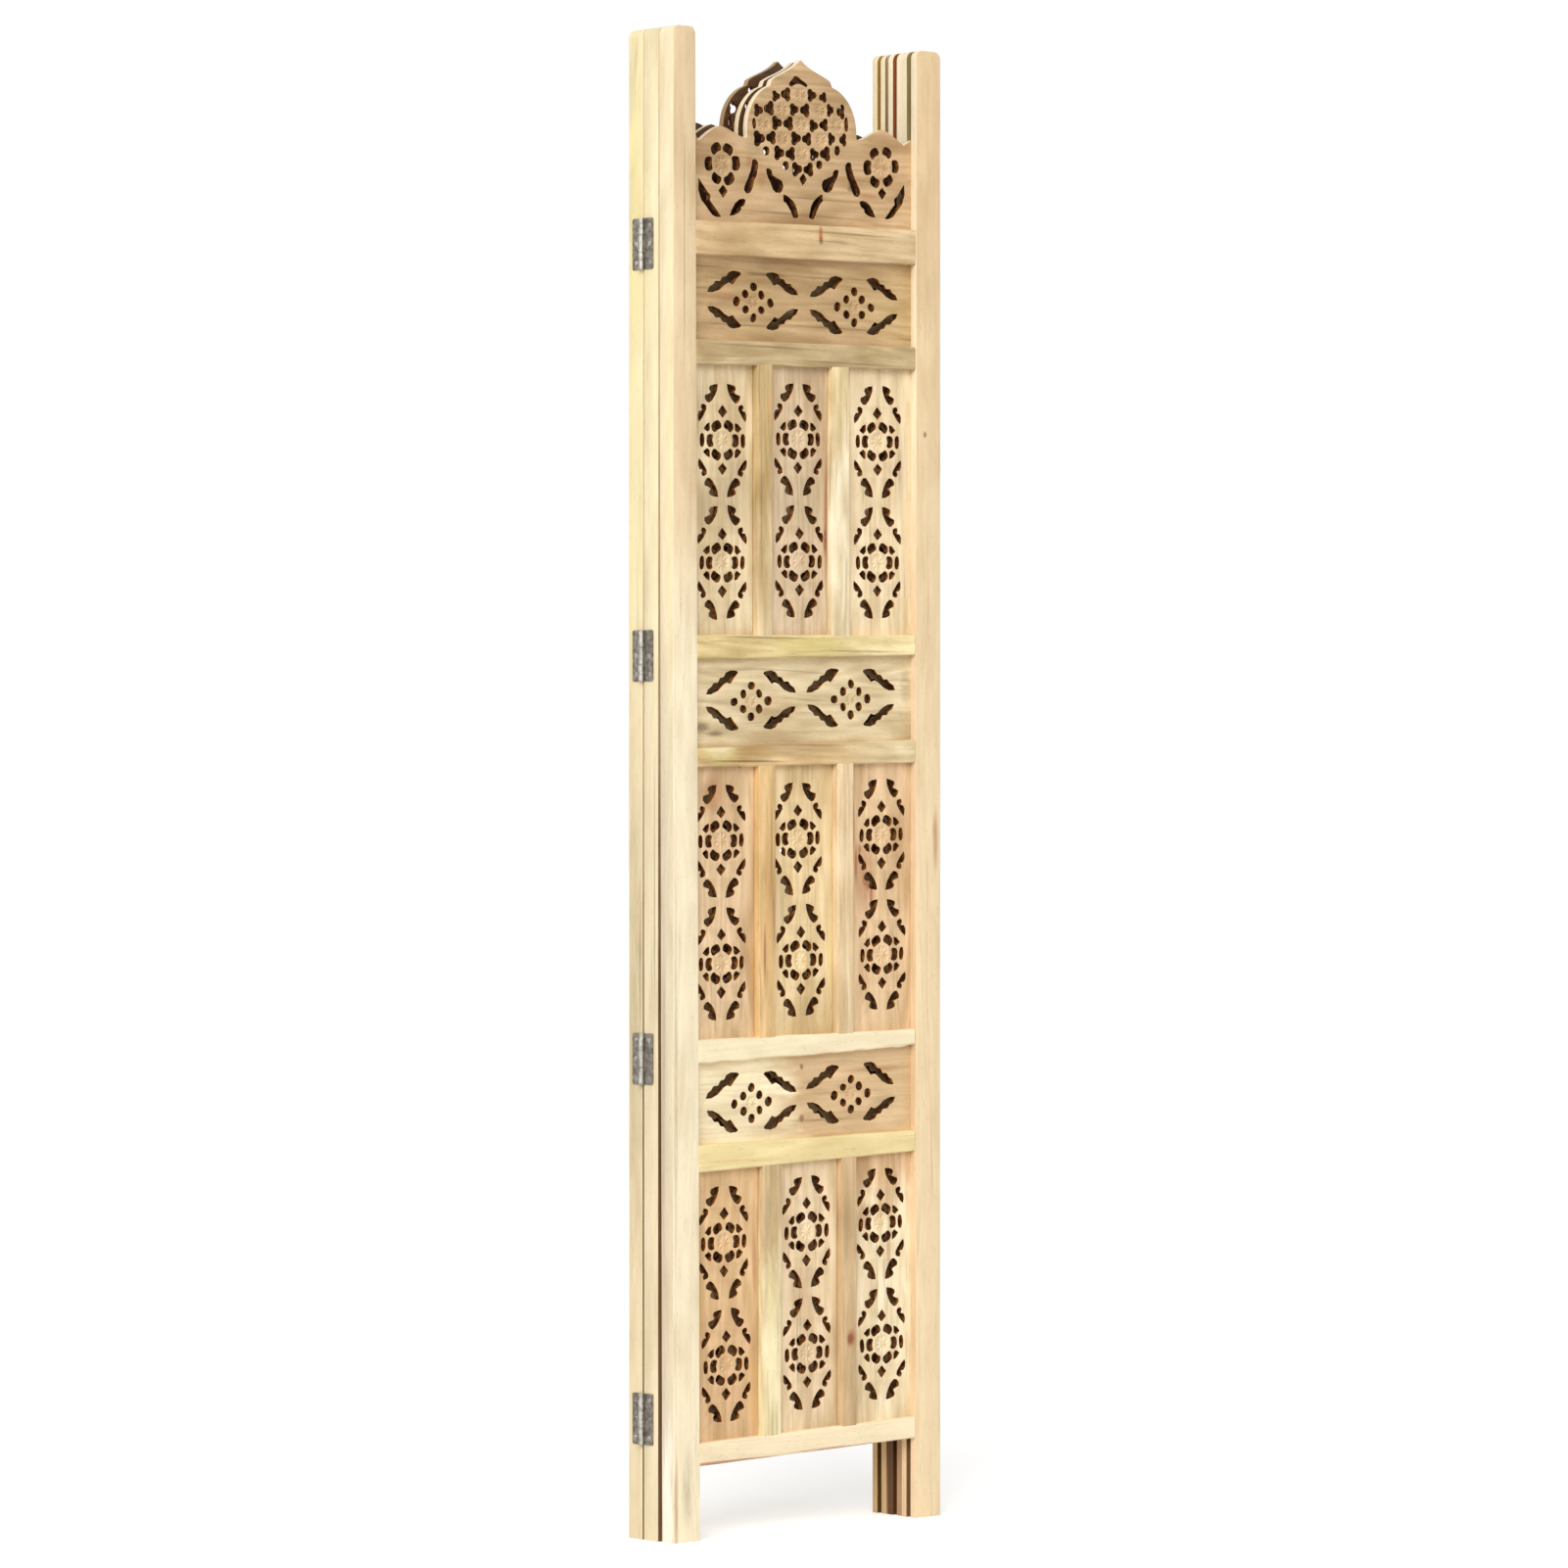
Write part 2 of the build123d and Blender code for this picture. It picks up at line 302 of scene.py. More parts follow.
# walls of the cut-outs: scorched colour with painted shade
sawn = scorchedAndShadedWall()
plateSteel = zincSteel("zincSteelPlate")
barrelSteel = zincSteel("zincSteelBarrel")
screwSteel = zincSteel("zincSteelScrew")
print("materials ready")


# sizes of the frame, read from the solids

postLow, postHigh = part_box("middle_left_post")
openingHalf = -postHigh.x / mm
panelHalf = -postLow.x / mm
postHeight = postHigh.z / mm
panelDepth = (postHigh.y - postLow.y) / mm
panelY = {panel: sum(corner.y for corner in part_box(f"{panel}_left_post")) / 2 / mm for panel in panels}
boardLow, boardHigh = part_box("middle_upper_slats")
boardThickness = (boardHigh.y - boardLow.y) / mm
tongue = boardHigh.x / mm - openingHalf

# how far each panel has racked: its inside pieces climb this much per mm to the right
rack = {"front": 0.0207, "middle": 0.018, "rear": 0.012}


def settle(panel, x, y, z):
    return Vector((x, y, z + rack[panel] * x)) * mm


# posts, rails and battens: sticks with eased edges and a little of the plane's unevenness

def roundedSection(width, depth, ease, groove=None):
    # points round a section, each with the kind of surface that follows it: 0 face, 1 side, 2 groove
    points = []
    for cornerU, cornerV, start in ((1, 1, 0), (-1, 1, 90), (-1, -1, 180), (1, -1, 270)):
        sideFirst = start % 180 == 0
        for step in range(4):
            angle = radians(start + 30 * step)
            kind = int((step < 1) == sideFirst) if step < 3 else int(not sideFirst)
            points.append((cornerU * (width / 2 - ease) + ease * cos(angle),
                           cornerV * (depth / 2 - ease) + ease * sin(angle), kind))
    if groove:
        half, deep = groove
        bed = width / 2 - deep
        points += [(width / 2, -half, 2), (bed, -half, 2), (bed, half, 2), (width / 2, half, 1)]
    return points


def bridge(bm, rings, kinds, cap=None):
    # a skin over rings of vertices: kinds has each strip's material, cap that of the two ends
    count = len(kinds)
    for near, far in zip(rings, rings[1:]):
        for i, kind in enumerate(kinds):
            face = bm.faces.new((near[i], near[(i + 1) % count], far[(i + 1) % count], far[i]))
            face.material_index = kind
    if cap is not None:
        for ring in (rings[0], rings[-1]):
            bm.faces.new(ring).material_index = cap


def addStick(bm, section, stations, place, kindOf=lambda kind: 0):
    # stations are (distance along, widest u, widest v); place turns (along, u, v) into a point
    rings = []
    for distance, limitU, limitV in stations:
        points = [(max(-limitU, min(limitU, u)), max(-limitV, min(limitV, v))) for u, v, _ in section]
        rings.append([bm.verts.new(place(distance, u, v)) for u, v in points])
    bridge(bm, rings, [kindOf(kind) for _, _, kind in section], kindOf(0))


def easedEnds(start, end, halfU, halfV, ease, spacing, topRadius=None):
    # stations along a stick, closer together where its ends are eased or rounded
    turns = [radians(a) for a in (0, 22, 45, 68, 90)]
    stations = [(start + ease * (1 - sin(a)), halfU - ease * (1 - cos(a)), halfV - ease * (1 - cos(a)))
                for a in reversed(turns)]
    far = topRadius or ease
    count = max(2, round((end - start) / spacing))
    stations += [(along(start + ease, end - far, k / count), halfU, halfV) for k in range(1, count)]
    steps = 10 if topRadius else 4
    for k in range(steps + 1):
        a = radians(90 * k / steps)
        drop = far * (1 - sin(a))
        fade = max(0, ease - drop)
        stations.append((end - drop, halfU - far * (1 - cos(a)), halfV - fade))
    return stations


postLook = {
    "ease": 0.7, "topRadius": 9.5, "spacing": 40,  # mm
    "groove": (3.6, 8),  # half its width, and its depth
    "bow": 0.3, "bowWaves": 0.004, "straightEnds": 60,  # mm, waves per mm, and mm at each end without bow
    # timber of the face and of the side; a second timber that it turns into, from one height to another
    "face": {
        "front_left": ("f4e6c5", ("e6cda5", 950, 1150)),
        "front_right": ("ebd4ab", ("e2c69b", 900, 1450)), "middle_left": "e8cfa6",
        "middle_right": "e8cfa6", "rear_left": "ecd6ae", "rear_right": "e3c99f"},
    "side": {
        "front_left": ("ddcdae", ("f1e0ba", 820, 1050)),
        "front_right": ("e6c9a2", ("f2e2c2", 700, 1300)),
        "middle_left": ("e6d5b0", ("efe1b8", 820, 1050)),
        "middle_right": ("b08a62", ("f4e6c4", 150, 700)), "rear_left": ("e6d3ab", ("f0e0b2", 820, 1050)),
        "rear_right": ("d0ad7c", ("efdcb4", 300, 900))},
    # darker than the faces: the wood's tone with painted shade of the deep, narrow groove
    "grooveTimberAndShade": {
        "front": ("8a6238", ("a2905f", 100, 500)), "middle": ("5c3a1c", ("a05a30", 100, 500)),
        "rear": ("6e5020", ("b08d4a", 100, 500))},
    "contrast": 0.45, "grooveContrast": 0.6,
    # the inner edge runs off line, mm at the foot and at the top
    "edgeShift": {"front_left": (3, -4), "front_right": (2.4, 1.6)},
    # wood planed off the back (+) or the front (-), mm at the foot and at the top
    "thinned": {
        "front_left": (1, 5.6, 0.3), "middle_right": (1, 0.6, 1.2), "rear_right": (-1, 0.8, 3.0),
        "rear_left": (-1, 0.7, 0.7), "front_right": (1, 0.7, 0.2)},
    "thinning": (0.8, 6),  # how fast it changes on the way up, and mm from the middle where it is full
}


def edgeShift(panel, side, z):
    foot, top = postLook["edgeShift"].get(f"{panel}_{side}", (0, 0))
    return along(foot, top, z / postHeight)


def buildPost(panel, side, seed):
    name = f"{panel}_{side}"
    low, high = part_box(f"{name}_post")
    width = (high.x - low.x) / mm
    middleX = (high.x + low.x) / 2 / mm
    inward = 1 if side == "left" else -1
    look = postLook
    backOrFront, foot, top = look["thinned"].get(name, (1, 0, 0))
    pace, full = look["thinning"]
    ends = look["straightEnds"]

    def place(z, u, v):
        t = z / postHeight
        calm = min(1, max(0, (postHeight - z) / ends), max(0, z / ends))
        wander = noise.noise(Vector((seed * 3.7, 0.3 * (u > 0), z * look["bowWaves"]))) * look["bow"] * calm
        if abs(u) < width / 2:
            wander = 0
        if u > 0:
            wander += edgeShift(panel, side, z) * u / (width / 2)
        if v * backOrFront > 0:
            v -= backOrFront * along(foot, top, t ** pace) * min(1, abs(v) / full)
        u = u - abs(wander) if u < 0 else u + wander
        return Vector((middleX + inward * u, panelY[panel] + v, z)) * mm

    bm = bmesh.new()
    section = roundedSection(width, panelDepth, look["ease"], look["groove"])
    stations = easedEnds(0, postHeight, width / 2, panelDepth / 2, look["ease"], look["spacing"],
                         look["topRadius"])
    addStick(bm, section, stations, place, lambda kind: kind)
    bmesh.ops.remove_doubles(bm, verts=bm.verts, dist=weld * mm)
    materials = []
    for step, part in enumerate(("face", "side")):
        marks = postMarks.get((name, part), ())
        wood = mangoWood(look[part][name], "Z", seed + 20 * step, look["contrast"], marks, "XY"[step])
        materials.append(wood)
    materials.append(mangoWood(look["grooveTimberAndShade"][panel], "Z", seed + 40, look["grooveContrast"]))
    newPiece(f"{name}_post_planed", bm, f"{panel}_panel", f"{name}_post", materials)


postMarks = {  # kind of mark, place across and up, half width and half height, all in mm
    ("front_left", "face"): (("smudge", -196.5, 520, 3, 260), ("streak", -195.5, 34, 3, 76),
        ("smudge", -180, 60, 8, 50), ("line", -184, 1400, 0.9, 130)),
    ("front_left", "side"): (("bleached", -25, 20, 16, 130), ("yellow", -30, 1180, 3, 260),
        ("smudge", -21, 500, 3, 200)),
    ("middle_left", "side"): (("yellow", 5, 1400, 3, 150), ("line", -6, 700, 1.2, 160)),
    ("rear_left", "side"): (("yellow", 26, 1440, 12, 170), ("smudge", 25, 580, 16, 260),
        ("yellow", 32, 1100, 3, 200), ("line", 18, 620, 1.2, 120)),
    ("front_right", "face"): (("streak", 192, 760, 4, 40), ("knot", 176, 1218, 3, 4)),
    # painted shade where the folded panels meet: dark bands down the posts' edges and at the right feet, in
    # the narrow gaps between posts
    ("middle_left", "face"): (("gapShade", -200, 200, 9, 1050),),
    ("rear_left", "face"): (("gapShade", -200, 100, 5, 900),),
    ("rear_right", "face"): (("gapShade", 164, 825, 6, 1400),),
    ("middle_right", "face"): (("gapShade", 164, 825, 4, 1400),),
    ("middle_right", "side"): (("gapShade", 9, 20, 5, 260), ("gapShade", 6, 20, 5, 260)),
}

railLook = {
    "ease": 2.4, "endEase": 1.2, "spacing": 8, "wobble": 0.5, "wobbleWaves": 0.02,  # mm, and waves per mm
    # the rail's timber; one that it turns into, from one place to another across the panel
    "timber": {
        "top_rail": ("cfb081", ("dbc094", -100, 140)), "rail_2": ("c6ad81", ("b8a074", 40, 140)),
        "rail_3": ("d8c087", ("efdca6", -100, 80)), "rail_4": ("d8b985", ("e2cda2", 30, 110)),
        "rail_5": "f5e7c2", "rail_6": "eedaa1", "bottom_rail": "f4e3bf"},
    # how far the front panel's rails were cut off size: bottom left, bottom right, top left, top right
    "cut": {
        "top_rail": (0.9, 0.3, 0.4, 1.6), "rail_2": (-1.1, -0.4, 0.4, -0.4),
        "rail_3": (-0.6, 1.6, 0, -1.9), "rail_4": (-1.1, -1.4, -5.4, -1.4),
        "rail_5": (-2.6, 1.6, -1.6, -4.8), "rail_6": (-2.6, 2.1, 1.4, -0.4),
        "bottom_rail": (-0.6, 1.6, -1.6, -0.4)},
    "wane": {"rail_5": 1.6, "rail_2": 0.8, "rail_4": 0.6},  # mm of bark edge left on the lower side
    "waneWaves": 0.035,
    "marks": {
        "top_rail": (("amber", 17, 1434, 8, 8), ("rust", 17, 1436, 3, 9), ("knot", 17.5, 1427, 3.4, 5),
            ("line", 60, 1437, 80, 1.6)),
        "rail_2": (("line", -60, 1306, 90, 1.4), ("line", 50, 1293, 90, 1.4)),
        "rail_3": (("yellow", 0, 978, 60, 16), ("line", -60, 986, 80, 1.4), ("line", 80, 973, 60, 1.4)),
        "rail_4": (("yellow", -130, 862, 36, 18), ("pale", -130, 862, 24, 8),
            ("dark", -95, 850, 60, 1.3), ("smudge", -20, 862, 70, 5), ("line", 0, 868, 70, 1.4)),
        "rail_6": (("amber", -100, 412, 60, 3),),
        "bottom_rail": (("rust", -90, 83, 120, 2.4), ("rust", 90, 87, 120, 2.4))},
    "contrast": {
        "top_rail": 1.2, "rail_2": 1.4, "rail_3": 1.5, "rail_4": 1.3, "rail_5": 0.4, "rail_6": 0.5,
        "bottom_rail": 0.4},
}


def buildRail(panel, rail, seed):
    node = f"{panel}_{rail}"
    middle, half = middleAndHalf(node)
    look = railLook
    isFront = panel == "front"
    cut = look["cut"][rail] if isFront else (0, 0, 0, 0)
    wane = look["wane"].get(rail, 0) if isFront else 0
    waves = look["wobbleWaves"]

    def place(x, u, v):
        t = (x + openingHalf) / (2 * openingHalf)
        edge = along(cut[2], cut[3], t) if u > 0 else along(cut[0], cut[1], t)
        rough = look["wobble"] * noise.noise(Vector((x * waves, seed + (u > 0) * 9, v * waves)))
        bark = wane * abs(noise.noise(Vector((x * look["waneWaves"], seed * 1.7, 3)))) * (u < 0) * 2
        return settle(panel, x, panelY[panel] + v, middle + u + edge + rough + bark)

    bm = bmesh.new()
    section = roundedSection(2 * half, panelDepth, look["ease"])
    start = -openingHalf + edgeShift(panel, "left", middle)
    end = openingHalf - edgeShift(panel, "right", middle)
    stations = easedEnds(start, end, half, panelDepth / 2, look["endEase"], look["spacing"])
    addStick(bm, section, stations, place)
    marks = look["marks"].get(rail, ()) if isFront else ()
    newPiece(f"{node}_planed", bm, f"{panel}_panel", node,
             [mangoWood(look["timber"][rail], "X", seed, look["contrast"][rail], marks)])


# the fields: battens and slats, in mm; those of the front panel stand a little off their nominal places

fieldLook = {
    "battenDrift": {"upper": (-6.9, -10.3), "middle": (-3.7, -3.3), "lower": (3.6, 2.4)},
    "battenWidth": {"upper": (21.5, 26), "middle": (24, 24), "lower": (26.5, 21.5)},
    # and each slat's two medallions, (aside, up) for the upper one and the lower one
    "medallionDrift": {
        "upper": (((-4.3, -3), (-4.8, -1.5)), ((-9, 0), (-7, 0)), ((-5.7, -1), (-5.7, -1))),
        "middle": (((-6.3, -1.5), (-5.8, -0.5)), ((-9.5, -2), (-5, -1.5)), ((0.3, -0.9), (1.3, 0.1))),
        "lower": (((-2.3, -1.5), (1.2, -1)), ((3.5, 2), (4.5, 2.5)), ((-1.2, 4.2), (0.8, 4.2)))},
    "otherDrift": (3, 2),  # most that a medallion of the other panels strays, aside and up
    # timbers, and where one of them turns into another on the way up
    "battenTimber": {
        "upper": (("e0c99c", ("c9ad7a", 1060, 1150)), ("f3e3bf", ("e0c998", 1160, 1240))),
        "middle": ("dfbb83", "e5cba1"), "lower": (("efe0b3", ("d2b88c", 270, 330)), "d1b388")},
    "slatTimber": {
        "upper": ("e4cea6", "d8be9b", "ecd5ad"), "middle": ("debf96", "e5cb9b", "dfbe93"),
        "lower": (("d6b184", ("dbb788", 220, 280)), "e4cba5", ("f2dfb9", ("dcb98e", 330, 400)))},
    "otherBattens": ("e6cfa4", "d8bd90"), "otherSlats": ("dfc29a", "e6cda4", "d9bb90"),
    "battenContrast": {"upper": 1.1, "middle": 0.9, "lower": 0.9}, "slatContrast": 0.9,
    "battenEase": 0.9, "endEase": 0.5, "spacing": 24,
    "seat": 8,  # how far a batten runs into the rail above and below
    "setBack": 0.35,  # of the battens, behind the rails' faces
    "joint": (0.25, 0.8),  # open joint on the left and on the right of a slat
    "edgeWood": 1.5,  # left between a cut-out and the edge of its slat
}
slatMarks = {  # kind of mark, place across and up, half width and half height, all in mm
    ("upper", 0): (("pale", -72, 1020, 20, 34), ("smudge", -150, 1255, 10, 40),
        ("smudge", -148, 1130, 12, 40), ("smudge", -112, 1139, 46, 40)),
    ("upper", 1): (("rust", 33, 1120, 4, 76), ("knot", 31, 1096, 3, 18), ("smudge", -50, 1240, 5, 40),
        ("smudge", 20, 1245, 8, 30), ("smudge", 0, 1139, 40, 44)),
    ("upper", 2): (("amber", 66, 1040, 4, 50), ("smudge", 144, 1180, 8, 50)),
    ("middle", 0): (("streak", -140, 812, 18, 20), ("knot", -96, 846, 3, 4), ("amber", -76, 620, 6, 50)),
    ("middle", 1): (("smudge", -32, 700, 6, 50), ("yellow", 40, 640, 5, 50)),
    ("middle", 2): (("rust", 78, 735, 2.6, 26), ("rust", 84, 752, 3, 6), ("knot", 93, 718, 6, 9),
        ("rust", 101, 700, 3, 22), ("rust", 96, 712, 3, 7), ("streak", 90, 722, 18, 40),
        ("rust", 74, 780, 2.2, 40), ("smudge", 136, 640, 7, 40)),
    ("lower", 0): (("amber", -74, 160, 10, 60), ("streak", -74, 300, 4, 50), ("amber", -154, 250, 8, 60)),
    ("lower", 2): (("streak", 90, 340, 12, 16), ("streak", 128, 300, 4, 26)),
}
battenMarks = {
    ("upper", 0): (("line", -71, 1150, 1.4, 110), ("amber", -58, 1235, 5, 34)),
    ("middle", 0): (("amber", -62, 690, 4, 90), ("rust", -66, 640, 1.6, 44), ("line", -56, 760, 1.4, 60)),
    ("lower", 1): (("rust", 64, 208, 8, 11), ("knot", 62, 207, 5, 7), ("smudge", 56, 330, 4, 60),
        ("smudge", 64, 160, 4, 34)),
    ("lower", 0): (("smudge", -60, 350, 5, 34), ("yellow", -56, 260, 4, 34)),
}
railBelow = {"upper": "rail_3", "middle": "rail_5", "lower": "bottom_rail"}
railAbove = {"upper": "rail_2", "middle": "rail_4", "lower": "rail_6"}
battensWide = (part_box("middle_battens")[1].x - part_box("middle_battens")[0].x) / mm  # over both battens
nominalBatten = 22
slatPitch = (2 * openingHalf + nominalBatten) / 3
battenWidth = battensWide - slatPitch


def fieldBattens(panel, level):
    # (middle, width) of the two battens of a field
    isFront = panel == "front"
    drifts = fieldLook["battenDrift"][level] if isFront else (0, 0)
    widths = fieldLook["battenWidth"][level] if isFront else (battenWidth, battenWidth)
    return [(side * slatPitch / 2 + drift, width) for side, drift, width in zip((-1, 1), drifts, widths)]


def buildBattens(panel, seed):
    look = fieldLook
    isFront = panel == "front"
    depth = panelDepth - 2 * look["setBack"]
    bm = bmesh.new()
    materials = []
    for level in levels:
        bottom = zSpan(f"{panel}_{railBelow[level]}")[1]
        top = zSpan(f"{panel}_{railAbove[level]}")[0]
        for number, (x, width) in enumerate(fieldBattens(panel, level)):

            def place(z, u, v):
                return settle(panel, x + u, panelY[panel] + v, z)

            timber = look["battenTimber"][level][number] if isFront else look["otherBattens"][number]
            marks = battenMarks.get((level, number), ()) if isFront else ()
            contrast = look["battenContrast"][level]
            materials.append(mangoWood(timber, "Z", seed + len(materials), contrast, marks))
            section = roundedSection(width, depth, look["battenEase"])
            stations = easedEnds(bottom - look["seat"], top + look["seat"], width / 2, depth / 2,
                                 look["endEase"], look["spacing"])
            addStick(bm, section, stations, place, lambda kind, index=len(materials) - 1: index)
    newPiece(f"{panel}_battens_planed", bm, f"{panel}_panel", f"{panel}_battens", materials)


# the last number that each piece is given seeds its grain and its random draws
for number, panel in enumerate(panels):
    for step, side in enumerate(("left", "right")):
        buildPost(panel, side, 60 * number + step + 1)
    for step, rail in enumerate(railLook["timber"]):
        buildRail(panel, rail, 400 + 10 * number + step)
    buildBattens(panel, 500 + 10 * number)
print("posts, rails and battens built")


# cut-outs: each is a closed outline in mm, round its own middle or a medallion's

def softCorner(before, corner, after, radius, steps=3):
    # a corner's points once it is rounded, by no more than just under half of either side
    reach = min(radius, 0.45 * (before - corner).length, 0.45 * (after - corner).length)
    start = corner + (before - corner).normalized() * reach
    end = corner + (after - corner).normalized() * reach
    shares = [step / (steps - 1) for step in range(steps)]
    return [start.lerp(corner, t).lerp(corner.lerp(end, t), t) for t in shares]


def withNeighbours(corners):
    return zip(corners[-1:] + corners[:-1], corners, corners[1:] + corners[:1])


def rounded(corners, radius):
    corners = [Vector(corner) for corner in corners]
    return [p for three in withNeighbours(corners) for p in softCorner(*three, radius)]


def flipped(corners, flipX, flipY):
    return [(flipX * x, flipY * y) for x, y in corners]


def petalHole(halfOut, halfWide, cusp=0.0, power=2.5, turn=0.0, count=20, cuspWidth=0.5):
    # a rounded cut-out, with a cusp of wood on its inner side: the tip of one of the rosette's petals
    points = []
    for step in range(count):
        angle = 2 * pi * step / count
        reach = 1 - cusp * exp(-((angle - pi) / cuspWidth) ** 2)
        out = reach * halfOut * abs(cos(angle)) ** (2 / power) * (1 if cos(angle) > 0 else -1)
        wide = halfWide * abs(sin(angle)) ** (2 / power) * (1 if sin(angle) > 0 else -1)
        points.append(Matrix.Rotation(turn, 2) @ Vector((out, wide)))
    return points


def trefoilHole(radius, depth, turn, count=21):
    points = []
    for step in range(count):
        angle = 2 * pi * step / count
        reach = radius * (1 - depth + depth * abs(cos(1.5 * angle)))
        points.append(Matrix.Rotation(turn, 2) @ Vector((reach * cos(angle), reach * sin(angle))))
    return points


def moved(outline, x, y):
    return [p + Vector((x, y)) for p in outline]


def middleOf(outline):
    return sum(outline, Vector((0, 0))) / len(outline)


handLook = {"turn": 4, "scale": (0.97, 1.03), "shift": 0.35, "uneven": 0.18}  # degrees, and mm


def handCut(outline, chance):
    # no two cut-outs are quite alike: each is a little shifted, turned and scaled, its edge uneven
    def wander(most):
        return Vector((chance.uniform(-most, most), chance.uniform(-most, most)))

    middle = middleOf(outline)
    turn = Matrix.Rotation(radians(chance.uniform(-handLook["turn"], handLook["turn"])), 2)
    scale = chance.uniform(*handLook["scale"])
    shift = wander(handLook["shift"])
    uneven = [wander(handLook["uneven"]) for _ in outline]
    return [middle + shift + turn @ (p - middle) * scale + off for p, off in zip(outline, uneven)]


slatLook = {  # mm from the middle of a medallion
    "medallionLift": 67.7,  # middle of the slat to the middle of a medallion
    "petalRing": 17.9, "petal": (5.8, 7.2),  # place, half depth, half width
    "cusps": (0.5, 0.25),  # of the two petals at the sides and of the others
    "outerPetal": ((18, 19.4), (22.6, 18), (28, 12.6), (21.8, 8.6), (18, 11.6)),
    "sidePetal": (29.8, 3.4, 7.5),  # place, half depth, half width
    "kite": ((0, 38.8), (6.9, 31), (0, 24.4), (-6.9, 31)),
    "cornerLeaf": ((6.8, 62.2), (13, 61.6), (18.8, 59.6), (20, 56.6), (17.4, 52.4), (20.8, 50.8),
        (26, 49), (26, 45.2), (22.6, 41.6), (18.8, 40.8), (14, 44.6), (10.2, 50.2), (7.6, 56)),
    "sideLeaf": ((26, 38.8), (23, 36.8), (23.2, 33), (26.4, 28.6), (30, 24), (34.8, 20), (36, 24),
        (35.8, 28.4), (33.6, 31.8), (29.2, 32.4), (31.2, 36), (29.6, 39.2)),
    "soft": {"outerPetal": 1.0, "cornerLeaf": 0.6, "sideLeaf": 0.6, "kite": 1.0},  # radius of the corners
    "rosette": 10,
}


def slatMedallion(x, y, chance):
    look = slatLook
    holes = []
    halfOut, halfWide = look["petal"]
    for k in range(6):
        angle = pi / 3 * k
        petal = petalHole(halfOut, halfWide, look["cusps"][k % 3 > 0], turn=angle)
        holes.append(moved(petal, look["petalRing"] * cos(angle), look["petalRing"] * sin(angle)))
    place, halfOut, halfWide = look["sidePetal"]
    for flipX in (1, -1):
        holes.append(moved(petalHole(halfOut, halfWide), flipX * place, 0))
        for flipY in (1, -1):
            holes += [rounded(flipped(look[name], flipX, flipY), look["soft"][name])
                      for name in ("outerPetal", "cornerLeaf", "sideLeaf")]
    holes += [rounded(flipped(look["kite"], 1, flipY), look["soft"]["kite"]) for flipY in (1, -1)]
    return [moved(handCut(hole, chance), x, y) for hole in holes]


friezeLook = {  # mm from the middle of a medallion
    "medallionPitch": 150,
    # how far the front panel's medallions stray: (aside, up) for the left one and the right one
    "drift": {
        "upper": ((-0.5, -2.5), (0.5, -3.5)), "middle": ((-3.8, -1.5), (-4.5, -1)),
        "lower": ((-3.3, -3), (-4.5, -1.5))},
    "slotLift": {"upper": 3.5, "middle": 3, "lower": 3},  # its lower slots were cut this much higher
    "beads": ((25.2, 0, 5.2), (0, 17, 4.9), (11.8, 8.4, 4.8)),  # place aside and up, and radius
    "beadShape": (0.85, 1, 1.05, 2.2),  # least and most of one half size, the other one, squareness
    "slot": ((67, 8.8), (58, 9), (49, 12.2), (41, 18.4), (35.5, 20.8), (30.5, 18.8), (25, 24.8),
        (18, 31), (20.5, 33), (29, 34), (36.5, 32), (40, 27), (45.5, 26.4), (48.8, 21.4), (55.5, 21.4),
        (58.6, 17.2), (64, 14.6)),
    "softSlot": 1.0, "rosette": 7.6,
    "timber": {
        "upper": ("bd9d70", ("d0b07e", 60, 150)), "middle": "dec9a0",
        "lower": ("f5e4bd", ("d9b98d", -50, 0))},
    "otherTimber": "d8bd90",
    "contrast": {"upper": 1.1, "middle": 1.0, "lower": 0.6},
    "marks": {
        "upper": (("streak", -112, 1360, 46, 5), ("dark", -60, 1386, 36, 2.4),
            ("line", 40, 1332, 90, 1.6), ("line", -100, 1329, 60, 1.5), ("line", 90, 1388, 50, 1.4)),
        "middle": (("dark", -152, 886, 12, 7), ("dark", -132, 880, 16, 4), ("smudge", -124, 884, 36, 7),
            ("smudge", 154, 935, 8, 18)),
        "lower": (("streak", 110, 506, 50, 5), ("knot", -4, 455, 4, 5), ("knot", -4, 512, 3, 4),
            ("line", 30, 452, 50, 2), ("smudge", 120, 470, 26, 10))},
}


def friezeMedallion(x, y, chance, slotLift=0):
    look = friezeLook
    narrow, wide, other, square = look["beadShape"]
    holes = []
    for beadX, beadY, radius in look["beads"]:
        for flipX in (1, -1) if beadX else (1,):
            for flipY in (1, -1) if beadY else (1,):
                bead = petalHole(radius * chance.uniform(narrow, wide), radius * other, 0, square,
                                 chance.uniform(0, pi))
                holes.append(moved(bead, flipX * beadX, flipY * beadY))
    for flipX in (1, -1):
        for flipY in (1, -1):
            slot = rounded(flipped(look["slot"], flipX, flipY), look["softSlot"])
            holes.append(moved(slot, 0, slotLift if flipY < 0 else 0))
    return [moved(handCut(hole, chance), x, y) for hole in holes]


